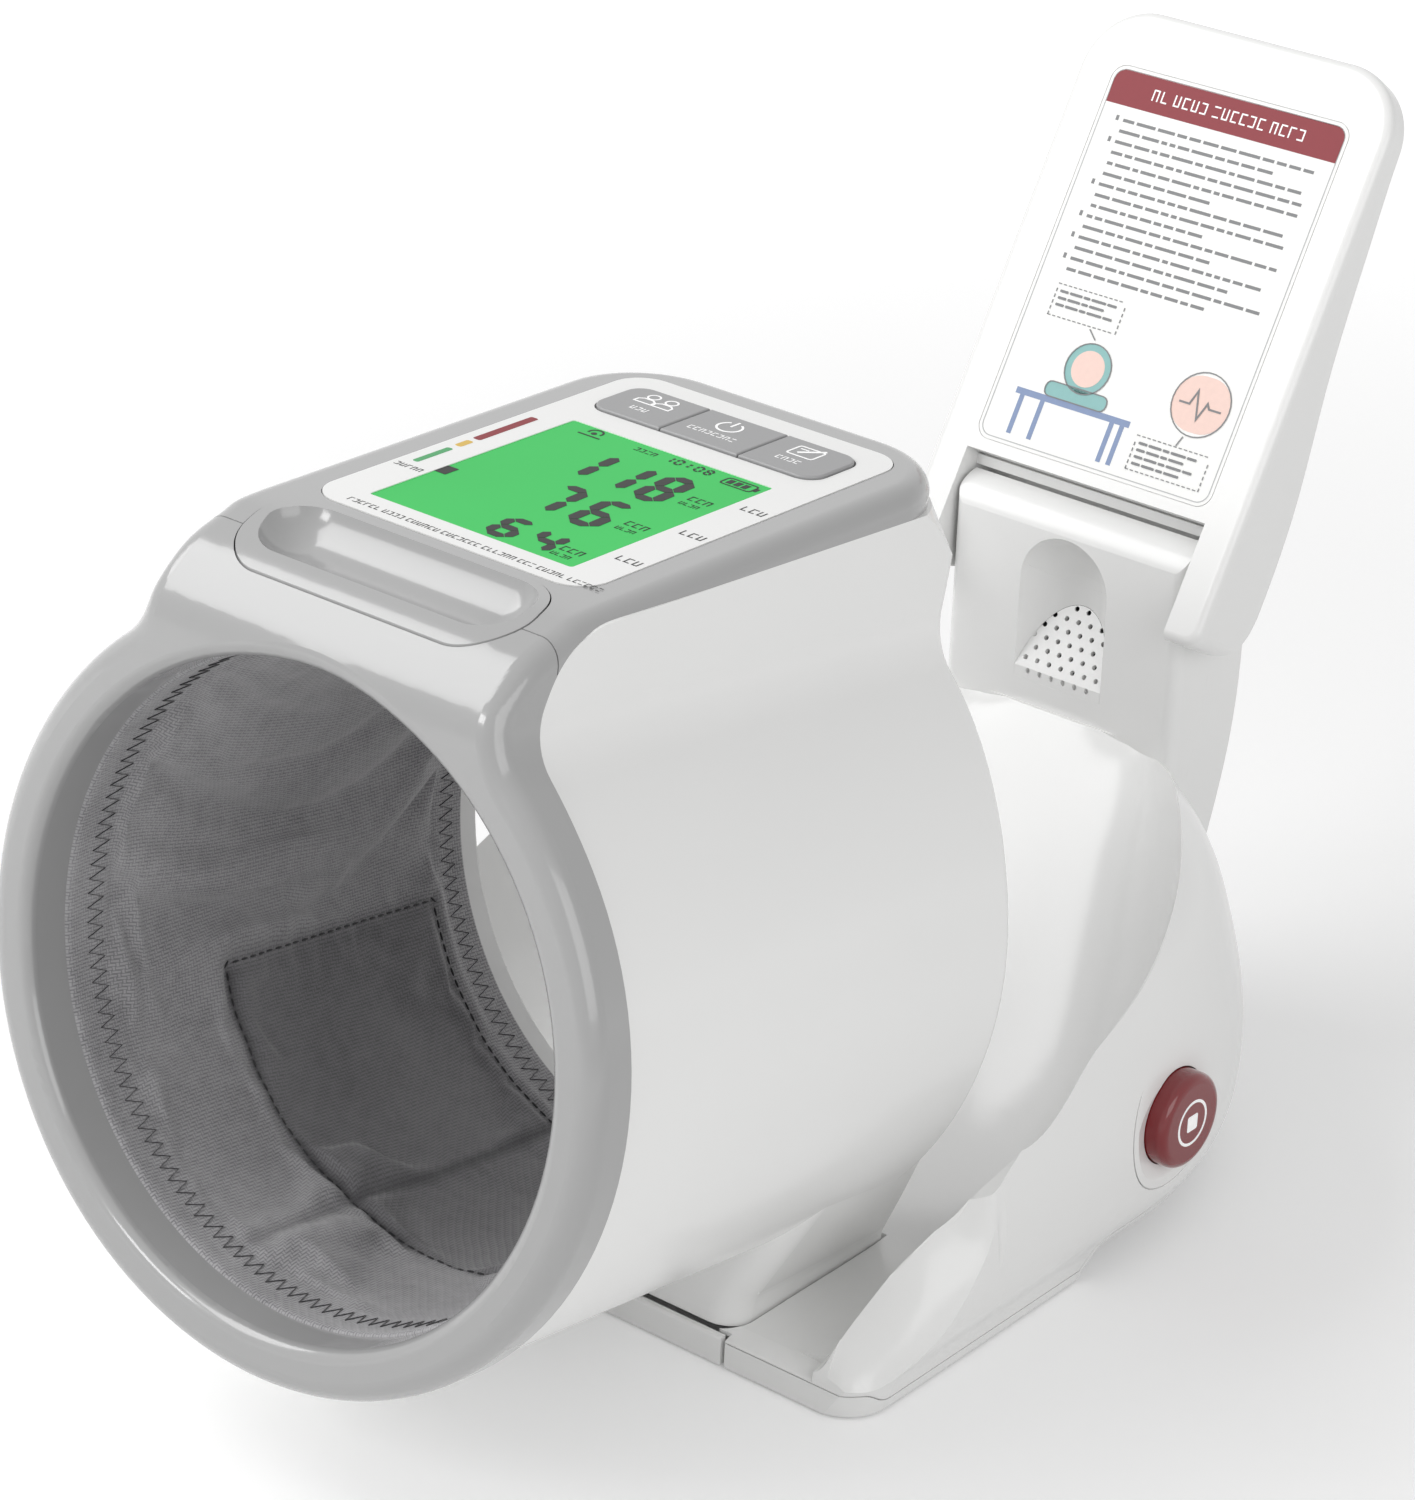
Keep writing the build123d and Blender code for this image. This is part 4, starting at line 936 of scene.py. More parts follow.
class NodeTool:
    """A geometry-nodes tree that turns a guide mesh into a finished piece."""

    def __init__(self, name: str, inputs: dict[str, tuple[str, float]]) -> None:
        """Starts the tree.

        Args:
            name: The tree's name.
            inputs: Name of each size to its socket type and value.
        """
        self.tree = bpy.data.node_groups.new(name, "GeometryNodeTree")
        sockets = self.tree.interface
        sockets.new_socket("Geometry", in_out="INPUT", socket_type="NodeSocketGeometry")
        self.values: dict[str, float] = {}
        for label, (kind, value) in inputs.items():
            socket = sockets.new_socket(label, in_out="INPUT", socket_type=kind)
            self.values[socket.identifier] = value
        sockets.new_socket("Geometry", in_out="OUTPUT", socket_type="NodeSocketGeometry")
        self.inside = add_node(self.tree, "NodeGroupInput")

    def end(self, geometry: bpy.types.NodeSocket, finish: Finish) -> None:
        """Closes the tree with real geometry that carries the finish.

        Args:
            geometry: What the tree has made.
            finish: What it is made of.
        """
        real = add_node(self.tree, "GeometryNodeRealizeInstances", {"Geometry": geometry})
        painted = add_node(
            self.tree, "GeometryNodeSetMaterial",
            {"Geometry": real.outputs["Geometry"], "Material": finish.material()},
        )
        add_node(self.tree, "NodeGroupOutput", {"Geometry": painted.outputs["Geometry"]})

    def run(self, name: str, guide: bpy.types.Mesh) -> bpy.types.Mesh:
        """Runs the tree on a guide mesh.

        Args:
            name: The result's name.
            guide: The mesh that the tree works on.

        Returns:
            The result, as a plain mesh.
        """
        holder = bpy.data.objects.new(name + ".guide", guide)
        bpy.context.scene.collection.objects.link(holder)
        modifier = holder.modifiers.new("tool", "NODES")
        modifier.node_group = self.tree
        for identifier, value in self.values.items():
            modifier[identifier] = value
        graph = bpy.context.evaluated_depsgraph_get()
        mesh = bpy.data.meshes.new_from_object(holder.evaluated_get(graph), depsgraph=graph)
        mesh.name = name
        bpy.data.objects.remove(holder)
        return mesh


def path_mesh(name: str, paths: Sequence[tuple[Sequence[Vector], bool]]) -> bpy.types.Mesh:
    """Makes a mesh of edges only, to guide stitches.

    Args:
        name: The mesh's name.
        paths: Each path's points, and whether it closes on itself.

    Returns:
        The mesh.
    """
    points: list[Vector] = []
    edges: list[tuple[int, int]] = []
    for path, closed in paths:
        first = len(points)
        points.extend(path)
        edges.extend((first + i, first + i + 1) for i in range(len(path) - 1))
        if closed:
            edges.append((first + len(path) - 1, first))
    mesh = bpy.data.meshes.new(name)
    mesh.from_pydata([tuple(p) for p in points], edges, [])
    return mesh


def zigzag_tool(pitch: float, reach: float, thickness: float, axis: Vector) -> NodeTool:
    """Builds the tree that sews a zigzag along a guide line.

    Args:
        pitch: Length of half a zigzag along the line.
        reach: How far each point stands to the side of the line.
        thickness: Radius of the thread.
        axis: The direction that the points are moved in.

    Returns:
        The tree.
    """
    tool = NodeTool("zigzag stitch", {
        "Pitch": ("NodeSocketFloat", pitch),
        "Reach": ("NodeSocketFloat", reach),
        "Thickness": ("NodeSocketFloat", thickness),
    })
    tree, given = tool.tree, tool.inside.outputs
    curve = add_node(tree, "GeometryNodeMeshToCurve", {"Mesh": given["Geometry"]})
    length = add_node(tree, "GeometryNodeCurveLength", {"Curve": curve.outputs["Curve"]})
    share = add_node(
        tree, "ShaderNodeMath",
        {0: length.outputs["Length"], 1: given["Pitch"]}, operation="DIVIDE",
    )
    half = add_node(tree, "ShaderNodeMath", {0: share.outputs[0], 1: 2.0}, operation="DIVIDE")
    whole = add_node(tree, "ShaderNodeMath", {0: half.outputs[0]}, operation="ROUND")
    count = add_node(tree, "ShaderNodeMath", {0: whole.outputs[0], 1: 2.0}, operation="MULTIPLY")
    spaced = add_node(
        tree, "GeometryNodeResampleCurve",
        {"Curve": curve.outputs["Curve"], "Count": count.outputs[0]},
    )
    index = add_node(tree, "GeometryNodeInputIndex")
    odd = add_node(
        tree, "ShaderNodeMath", {0: index.outputs[0], 1: 2.0}, operation="MODULO"
    )
    swing = add_node(
        tree, "ShaderNodeMapRange",
        {"Value": odd.outputs[0], "To Min": -1.0, "To Max": 1.0},
    )
    size = add_node(
        tree, "ShaderNodeMath",
        {0: swing.outputs[0], 1: given["Reach"]}, operation="MULTIPLY",
    )
    shift = add_node(
        tree, "ShaderNodeVectorMath", {0: axis, "Scale": size.outputs[0]}, operation="SCALE"
    )
    moved = add_node(
        tree, "GeometryNodeSetPosition",
        {"Geometry": spaced.outputs["Curve"], "Offset": shift.outputs[0]},
    )
    profile = add_node(
        tree, "GeometryNodeCurvePrimitiveCircle", {"Resolution": 6, "Radius": given["Thickness"]}
    )
    thread = add_node(
        tree, "GeometryNodeCurveToMesh",
        {"Curve": moved.outputs["Geometry"], "Profile Curve": profile.outputs["Curve"]},
    )
    tool.end(thread.outputs["Mesh"], THREAD)
    return tool


def running_tool(pitch: float, stitch: float, thickness: float) -> NodeTool:
    """Builds the tree that sews a line of single stitches along a guide line.

    Args:
        pitch: Distance from stitch to stitch.
        stitch: Length of one stitch.
        thickness: Radius of the thread.

    Returns:
        The tree.
    """
    tool = NodeTool("running stitch", {
        "Pitch": ("NodeSocketFloat", pitch),
        "Stitch": ("NodeSocketFloat", stitch),
        "Thickness": ("NodeSocketFloat", thickness),
    })
    tree, given = tool.tree, tool.inside.outputs
    curve = add_node(tree, "GeometryNodeMeshToCurve", {"Mesh": given["Geometry"]})
    spaced = add_node(
        tree, "GeometryNodeResampleCurve",
        {"Curve": curve.outputs["Curve"], "Length": given["Pitch"]}, mode="LENGTH",
    )
    tangent = add_node(tree, "GeometryNodeInputTangent")
    turn = add_node(
        tree, "FunctionNodeAlignRotationToVector", {"Vector": tangent.outputs[0]}, axis="Z"
    )
    bead = add_node(
        tree, "GeometryNodeMeshUVSphere", {"Segments": 6, "Rings": 4, "Radius": 1.0}
    )
    scale = add_node(
        tree, "ShaderNodeCombineXYZ",
        {"X": given["Thickness"], "Y": given["Thickness"], "Z": given["Stitch"]},
    )
    sewn = add_node(
        tree, "GeometryNodeInstanceOnPoints",
        {
            "Points": spaced.outputs["Curve"], "Instance": bead.outputs["Mesh"],
            "Rotation": turn.outputs["Rotation"], "Scale": scale.outputs["Vector"],
        },
    )
    tool.end(sewn.outputs["Instances"], THREAD)
    return tool


# ---------------------------------------------------------------- sub-assemblies

DISPLAY_FACE = leaning((0, -50.62, 199.007), -2.0)
LID_FACE = leaning((0, 144, 128), 90.0 - 31.0)


@dataclass
class CuffLiner:
    """The padded twill liner of the arm tunnel, sewn down along its hems, its panel and one seam.

    Sizes are in millimetres; distances along the tunnel start at the ring's front.
    """

    outer: float = 73.9
    inner: float = 71.6
    front: float = 11.9
    rear: float = 139.6
    hem: float = 20.4
    rear_hem: float = 134.6
    hem_width: float = 3.0
    panel_front: float = 57.8
    panel_rear: float = 127.0
    panel_side: float = 67.8
    seam_angle: float = -108.0
    around: int = 180
    along: int = 76
    deepest: float = 8.5
    fold: float = 4.4
    bulge: float = 1.3
    softness: float = 1.3
    panel_tone: float = 0.45
    # painted shade along the seams: how dark it is, and how far it reaches
    seam_painted_shade: float = 0.4
    seam_shade_reach: float = 1.6
    hem_margin: float = 2.0
    pinned: float = 1.3
    held: float = 4.0
    frames: int = 24
    zigzag_pitch: float = 3.3
    zigzag_reach: float = 2.3
    zigzag_thread: float = 0.17
    stitch_pitch: float = 2.9
    stitch_length: float = 1.1
    stitch_thread: float = 0.3

    ORIGIN = Vector((0, -140, 112))
    AXIS = Vector((0, math.cos(math.radians(8)), -math.sin(math.radians(8))))
    UP = Vector((0, math.sin(math.radians(8)), math.cos(math.radians(8))))
    CLOTH = {
        "quality": 5, "mass": 0.25, "tension_stiffness": 14, "compression_stiffness": 14,
        "shear_stiffness": 4, "bending_stiffness": 0.25, "shrink_min": -0.08,
        "use_pressure": True, "uniform_pressure_force": 1.6, "vertex_group_mass": "sewn",
    }

    def spot(self, angle: float, distance: float, radius: float) -> Vector:
        """Finds a point of the tunnel.

        Args:
            angle: Its angle round the tunnel, in degrees.
            distance: Its distance along the tunnel.
            radius: Its distance from the tunnel's axis.

        Returns:
            The point, in metres.
        """
        turn = math.radians(angle)
        side = Vector((1, 0, 0)) * math.cos(turn) + self.UP * math.sin(turn)
        return (self.ORIGIN + self.AXIS * distance + side * radius) * MM

    def local(self, point: Vector) -> tuple[float, float, float]:
        """Does the reverse of spot.

        Args:
            point: A point, in metres.

        Returns:
            Its angle in degrees, its distance along the tunnel and its radius.
        """
        rel = point / MM - self.ORIGIN
        distance = rel.dot(self.AXIS)
        height = rel.dot(self.UP)
        return math.degrees(math.atan2(height, rel.x)), distance, math.hypot(rel.x, height)

    def seam_gap(self, angle: float, distance: float) -> float:
        """Measures how far a point of the liner is from the nearest sewn line.

        Args:
            angle: The point's angle, in degrees.
            distance: Its distance along the tunnel.

        Returns:
            The distance to the line, which is 0 within a hem.
        """
        off = (angle + 90 + 180) % 360 - 180
        arc = math.radians(abs(off)) * self.inner - math.radians(self.panel_side) * self.inner
        fore, aft = self.panel_front - distance, distance - self.panel_rear
        across = max(fore, aft)
        outside = math.hypot(max(arc, 0), max(across, 0))
        edge = outside if max(arc, across) > 0 else min(-arc, -across)
        seam = math.radians(abs((angle - self.seam_angle + 180) % 360 - 180)) * self.inner
        if not self.hem < distance < self.panel_rear:
            seam = 100.0
        hems = min(abs(distance - self.hem), abs(distance - self.rear_hem))
        return min(edge, seam, max(0.0, hems - self.hem_width))

    def panel_lot_and_seam_shade(self, angle: float, distance: float) -> float:
        """Says how much darker the cloth is: the panel is of a darker lot, and the seams get painted
        shade.

        Args:
            angle: The point's angle, in degrees.
            distance: Its distance along the tunnel.

        Returns:
            The share of the deep colour.
        """
        off = math.radians(abs((angle + 270) % 360 - 180)) - math.radians(self.panel_side)
        on_panel = off < 0 and self.panel_front < distance < self.panel_rear
        panel = self.panel_tone if on_panel else 0.0
        to_hem = min(distance - self.hem, self.rear_hem - distance)
        if to_hem < self.hem_width + self.hem_margin:
            return panel
        # painted shade: the cloth is darkened near the sewn lines
        near = math.exp(-(self.seam_gap(angle, distance) / self.seam_shade_reach) ** 2)
        return panel + self.seam_painted_shade * near

    def start_radius(self, angle: float, distance: float) -> float:
        """Lays out the liner before it is blown up: a little slack, sunk along its seams.

        Args:
            angle: The point's angle, in degrees.
            distance: Its distance along the tunnel.

        Returns:
            The radius of the inner face.
        """
        near = math.exp(-(self.seam_gap(angle, distance) / 2.4) ** 2)
        turn = math.radians(angle)
        sway = 0.9 * math.sin(distance * 0.05 + 2 * turn)
        folds = (0.5 + 0.5 * math.sin(7 * turn + distance * 0.055 + sway)) ** 2
        folds += 0.45 * (0.5 + 0.5 * math.sin(16 * turn - distance * 0.07 - 2 * sway)) ** 3
        loose = min(1.0, max(0.0, (distance - self.hem) / 14))
        loose *= min(1.0, (self.rear - distance) / 14)
        return self.inner - self.fold * folds * loose * (1 - near) + 0.7 * near

    def profile(self) -> list[tuple[float, float | None]]:
        """Returns the closed section as distances and radii; a radius of None is the inner face."""
        inside = [
            (self.front + (self.rear - self.front) * i / (self.along - 1), None)
            for i in range(self.along)
        ]
        steps = 12
        back = [(self.rear + 0.6, self.inner + 0.9), (self.rear + 0.5, self.outer - 0.4)]
        outside = [
            (self.rear - (self.rear - self.front) * i / (steps - 1), self.outer)
            for i in range(steps)
        ]
        fore = [(self.front - 0.5, self.outer - 0.4), (self.front - 0.6, self.inner + 0.9)]
        return inside + back + outside + fore

    def tube(self) -> bpy.types.Mesh:
        """Builds the closed padded tube with its cloth map."""
        section = self.profile()
        rows = len(section)
        points = []
        for i in range(self.around):
            angle = 360.0 * i / self.around - 180.0
            for distance, radius in section:
                reach = self.start_radius(angle, distance) if radius is None else radius
                points.append(self.spot(angle, distance, reach))
        faces = []
        for i in range(self.around):
            j = (i + 1) % self.around
            for k in range(rows):
                m = (k + 1) % rows
                faces.append((i * rows + k, i * rows + m, j * rows + m, j * rows + k))
        mesh = bpy.data.meshes.new("cuff_liner_cloth")
        mesh.from_pydata([tuple(p) for p in points], [], faces)
        mesh.uv_layers.new(name="cloth")
        layer = mesh.uv_layers["cloth"].data
        for polygon in mesh.polygons:
            column = polygon.index // rows
            for corner in polygon.loop_indices:
                vertex = mesh.loops[corner].vertex_index
                step = vertex // rows
                if column == self.around - 1 and step == 0:
                    step = self.around
                along = section[vertex % rows][0] * MM
                layer[corner].uv = (2 * math.pi * self.inner * MM * step / self.around, along)
        # the panel's darker cloth, and painted shade along the seams
        lots_and_seam_shades = [self.panel_lot_and_seam_shade(*self.local(vertex.co)[:2]) for vertex in mesh.vertices]
        mesh.attributes.new("lot_and_seam_shade", "FLOAT", "POINT").data.foreach_set("value", lots_and_seam_shades)
        mesh.polygons.foreach_set("use_smooth", [True] * len(mesh.polygons))
        return mesh

    def hold(self, piece: bpy.types.Object) -> None:
        """Pins the outer face, the hems and the sewn lines.

        Args:
            piece: The liner.
        """
        group = piece.vertex_groups.new(name="sewn")
        rows = len(self.profile())
        for vertex in piece.data.vertices:
            angle, distance, _ = self.local(vertex.co)
            row = vertex.index % rows
            if row >= self.along or distance < self.hem or distance > self.rear_hem:
                group.add([vertex.index], 1.0, "REPLACE")
                continue
            gap = self.seam_gap(angle, distance)
            if gap < self.pinned:
                group.add([vertex.index], 1.0, "REPLACE")
            elif gap < self.held:
                group.add([vertex.index], 0.25, "REPLACE")

    def blow_up(self, piece: bpy.types.Object) -> None:
        """Lets the slack cloth fill and wrinkle between its seams, then keeps its shape.

        Args:
            piece: The liner, with its sewn points pinned.
        """
        scene = bpy.context.scene
        cloth = piece.modifiers.new("cloth", "CLOTH")
        for name, value in self.CLOTH.items():
            setattr(cloth.settings, name, value)
        cloth.settings.effector_weights.gravity = 0.25
        cloth.collision_settings.use_collision = False
        cloth.point_cache.frame_start = 1
        cloth.point_cache.frame_end = self.frames
        for step in range(1, self.frames + 1):
            scene.frame_set(step)
        graph = bpy.context.evaluated_depsgraph_get()
        blown = piece.evaluated_get(graph).data
        shape = [vertex.co.copy() for vertex in blown.vertices]
        piece.modifiers.clear()
        scene.frame_set(1)
        rows = len(self.profile())
        for vertex, moved in zip(piece.data.vertices, shape):
            if vertex.index % rows >= self.along:
                continue
            angle, distance, radius = self.local(moved)
            rise = self.inner - radius
            if rise > 0:
                rise = self.deepest * (1 - math.exp(-rise / (self.softness * self.deepest)))
            radius = self.inner - max(rise, -self.bulge)
            distance = min(max(distance, self.front), self.rear)
            vertex.co = self.spot(angle, distance, radius)

    def smooth(self, piece: bpy.types.Object) -> None:
        """Divides the cloth once, so that its folds are round.

        Args:
            piece: The liner.
        """
        modifier = piece.modifiers.new("round folds", "SUBSURF")
        modifier.levels = modifier.render_levels = 1
        graph = bpy.context.evaluated_depsgraph_get()
        mesh = bpy.data.meshes.new_from_object(
            piece.evaluated_get(graph), preserve_all_data_layers=True, depsgraph=graph
        )
        piece.modifiers.clear()
        piece.data = mesh

    def on_cloth(self, piece: bpy.types.Object, path: Sequence[Point]) -> list[Vector]:
        """Lays a path on the inner face of the finished cloth.

        Args:
            piece: The liner.
            path: Angles in degrees and distances along the tunnel.

        Returns:
            The path's points, in metres, just above the cloth.
        """
        laid = []
        for angle, distance in path:
            centre = self.spot(angle, distance, 10.0)
            away = (self.spot(angle, distance, 80.0) - centre).normalized()
            hit, where, _, _ = piece.ray_cast(centre, away)
            laid.append(where - away * 0.12 * MM if hit else self.spot(angle, distance, self.inner))
        return laid

    def panel_path(self) -> list[Point]:
        """Returns the sewn outline of the panel."""
        low, high = -90 - self.panel_side, -90 + self.panel_side
        count = 70
        fore = [(low + (high - low) * i / count, self.panel_front) for i in range(count + 1)]
        aft = [(high - (high - low) * i / count, self.panel_rear) for i in range(count + 1)]
        run, length = 34, self.panel_rear - self.panel_front
        up = [(high, self.panel_front + length * i / run) for i in range(1, run)]
        down = [(low, self.panel_rear - length * i / run) for i in range(1, run)]
        return fore + up + aft + down

    def stitches(self, piece: bpy.types.Object) -> None:
        """Sews the zigzag hems and the panel's running stitch.

        Args:
            piece: The liner.
        """
        turn = [360.0 * i / 240 - 180.0 for i in range(240)]
        hems = [
            (self.on_cloth(piece, [(angle, distance) for angle in turn]), True)
            for distance in (self.hem, self.rear_hem)
        ]
        tool = zigzag_tool(
            self.zigzag_pitch * MM, self.zigzag_reach * MM, self.zigzag_thread * MM, self.AXIS
        )
        mesh = tool.run("hem_zigzag", path_mesh("hem_lines", hems))
        new_piece("hem_zigzag", mesh, THREAD, "tunnel")
        panel = [(self.on_cloth(piece, self.panel_path()), True)]
        tool = running_tool(
            self.stitch_pitch * MM, self.stitch_length * MM, self.stitch_thread * MM
        )
        mesh = tool.run("panel_stitches", path_mesh("panel_lines", panel))
        new_piece("panel_stitches", mesh, THREAD, "tunnel")

    def build(self) -> None:
        """Makes the liner and everything sewn on it."""
        mesh = self.tube()
        piece = new_piece("cuff_liner_cloth", mesh, TWILL, "tunnel")
        self.hold(piece)
        self.blow_up(piece)
        self.smooth(piece)
        self.stitches(piece)
        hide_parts("cuff_liner")
        dress(DRUM_ABS, "cuff_drum")
        dress(BLADDER, "cuff_bladder")


@dataclass
class DisplayHead:
    """The head on the tunnel: bezel, white panel, lit display, three keys and their prints.

    Positions are millimetres right of and beyond the middle of the display face.
    """

    key_middles: tuple[float, float, float] = (-21.0, -0.6, 20.4)
    window_print: float = 0.02
    panel_print: float = 0.2
    key_print: float = 0.92
    icon_y: float = 53.0
    word_y: float = 46.2

    def readings(self) -> None:
        """Prints the three rows of digits, the clock and the small marks of the display."""
        sheet = Print(DISPLAY_FACE, self.window_print)
        DigitRow("118", 16.4, 7.0, 7.9, 16.8, 10.3, 2.7).onto(sheet)
        DigitRow("76", 16.6, -13.8, 8.3, 16.8, 12.0, 2.7).onto(sheet)
        DigitRow("64", 18.4, -31.0, 7.3, 11.6, 9.9, 2.3).onto(sheet)
        DigitRow("10:08", 13.4, 28.4, 2.0, 3.3, 2.7, 0.55).onto(sheet)
        sheet.scrawl(-7.6, 28.8, (4,), 1.5, 11)
        for y in (14.4, -6.2, -26.6):
            sheet.scrawl(19.0, y, (3,), 2.0, 5)
            sheet.scrawl(19.0, y - 3.0, (4,), 1.3, 8)
        sheet.area(rectangle(-27.6, -12.4, -24.6, -8.0))
        sheet.line(rounded(17.2, 27.4, 25.2, 31.2, 0.8, 2), 0.4, closed=True)
        for x in (18.2, 20.2, 22.2):
            sheet.area(rectangle(x, 28.2, x + 1.4, 30.4))
        sheet.area(rectangle(25.5, 28.4, 26.2, 30.2))
        sheet.arc(-19.4, 30.4, 1.7, -20, 200, 0.5)
        sheet.area(circle(-19.4, 29.8, 0.7, 12))
        sheet.line([(-22.4, 28.0), (-16.4, 28.0)], 0.5)
        sheet.finished("display_digits", BLACK_INK, "tunnel")

    def panel_marks(self) -> None:
        """Prints the row marks, the level strip and the line along the near edge of the panel."""
        marks = Print(DISPLAY_FACE, self.panel_print)
        for y in (17.8, -2.2, -22.6):
            marks.scrawl(30.4, y, (3,), 2.1, 17)
        marks.scrawl(-28.6, -38.4, (6, 4, 6, 7, 6, 3, 5, 6), 1.45, 23)
        marks.scrawl(-36.2, -15.8, (5,), 1.5, 29)
        marks.finished("panel_marks", BLACK_INK, "tunnel")
        strip = (
            (GREEN_INK, -11.6, -0.2, 1.6), (YELLOW_INK, 1.9, 6.2, 1.8), (RED_INK, 7.9, 27.2, 2.1)
        )
        for ink, low, high, width in strip:
            band = Print(DISPLAY_FACE, self.panel_print)
            band.area(rounded(-33.9 - width / 2, low, -33.9 + width / 2, high, 0.5, 3))
            band.finished("level_strip_" + ink.name.split()[0], ink, "tunnel")

    def set_icon(self, sheet: Print, x: float) -> None:
        """Prints two users side by side."""
        for side in (-2.5, 2.5):
            sheet.arc(x + side, self.icon_y + 2.1, 1.45, 0, 360, 0.45)
            body = [
                (x + side - 2.3, self.icon_y - 2.2), (x + side - 2.3, self.icon_y - 0.6),
                (x + side - 1.2, self.icon_y + 0.3), (x + side + 1.2, self.icon_y + 0.3),
                (x + side + 2.3, self.icon_y - 0.6), (x + side + 2.3, self.icon_y - 2.2),
            ]
            sheet.line(body, 0.45, closed=True)

    def start_icon(self, sheet: Print, x: float) -> None:
        """Prints the usual on and off sign."""
        sheet.arc(x, self.icon_y, 2.9, 120, 420, 0.55)
        sheet.line([(x, self.icon_y + 0.4), (x, self.icon_y + 3.7)], 0.55)

    def memory_icon(self, sheet: Print, x: float) -> None:
        """Prints a sheet of notes with a pen."""
        paper = rounded(x - 3.4, self.icon_y - 2.6, x + 3.4, self.icon_y + 2.8, 0.6, 2)
        sheet.line(paper, 0.45, closed=True)
        sheet.line([(x - 1.6, self.icon_y - 1.0), (x + 3.0, self.icon_y + 3.6)], 0.8)
        sheet.line([(x - 2.4, self.icon_y + 1.4), (x - 0.2, self.icon_y + 1.4)], 0.4)

    def keys(self) -> None:
        """Prints each key's sign and the word-like strokes under it."""
        signs: dict[str, tuple[str, Callable[[Print, float], None], int]] = {
            "set_button": ("set_key", self.set_icon, 3),
            "start_button": ("start_key", self.start_icon, 8),
            "memory_button": ("memory_key", self.memory_icon, 4),
        }
        for x, (node, (body, icon, word)) in zip(self.key_middles, signs.items()):
            sheet = Print(DISPLAY_FACE, self.key_print)
            icon(sheet, x)
            sheet.scrawl(x - word * 0.83, self.word_y, (word,), 1.6, 31 + word)
            sheet.finished(node + "_sign", WHITE_INK_PAINTED_GLOW, body)
        dress(KEY_ABS, *signs)

    def build(self) -> None:
        """Dresses the head and prints on it."""
        dress(GREY_ABS, "front_ring", "grip_inset", "display_bezel")
        dress(PANEL_ABS, "panel_plate")
        dress(DISPLAY, "lcd_window")
        dress(DARK_ABS, "lcd_module")
        dress(BOARD, "main_board")
        dress(SILICONE, "key_mat")
        dress(STEEL, "board_screws")
        self.readings()
        self.panel_marks()
        self.keys()


@dataclass
class Housing:
    """The white mouldings: barrel, base, column, and what is fixed in them."""

    def build(self) -> None:
        """Gives every moulding and inner part its finish."""
        dress(
            WHITE_ABS, "barrel_shell", "rear_rim", "base_upper_shell", "base_lower_shell",
            "service_cover", "battery_door", "column_rear_cover", "stop_collar", "speaker_grille",
        )
        dress(RUBBER, "rubber_feet")
        dress(
            STEEL, "base_screws", "tilt_pins", "hinge_pins", "lid_screws", "battery_contacts", "pump"
        )
        dress(DARK_ABS, "battery_box", "air_valve", "power_inlet", "stop_switch", "speaker")
        dress(JACKET, "batteries")
        dress(SILICONE, "air_hose")
        dress(BOARD, "power_board")


@dataclass
class StopControl:
    """The red stop button on the right wing, with a stop sign on its face."""

    face: Place = Place((95.6, 61, 38), Vector((0, 1, 0)), Vector((0, 0, 1)))
    ring: float = 5.4

    def build(self) -> None:
        """Dresses the button and prints its sign."""
        dress(RED_ABS, "stop_button")
        sheet = Print(self.face, 0.02)
        sheet.arc(0, 0, self.ring, 0, 360, 0.7)
        sheet.area(rounded(-2.0, -2.0, 2.0, 2.0, 0.5, 3))
        sheet.finished("stop_sign", WHITE_INK_PAINTED_GLOW, "stop_key")


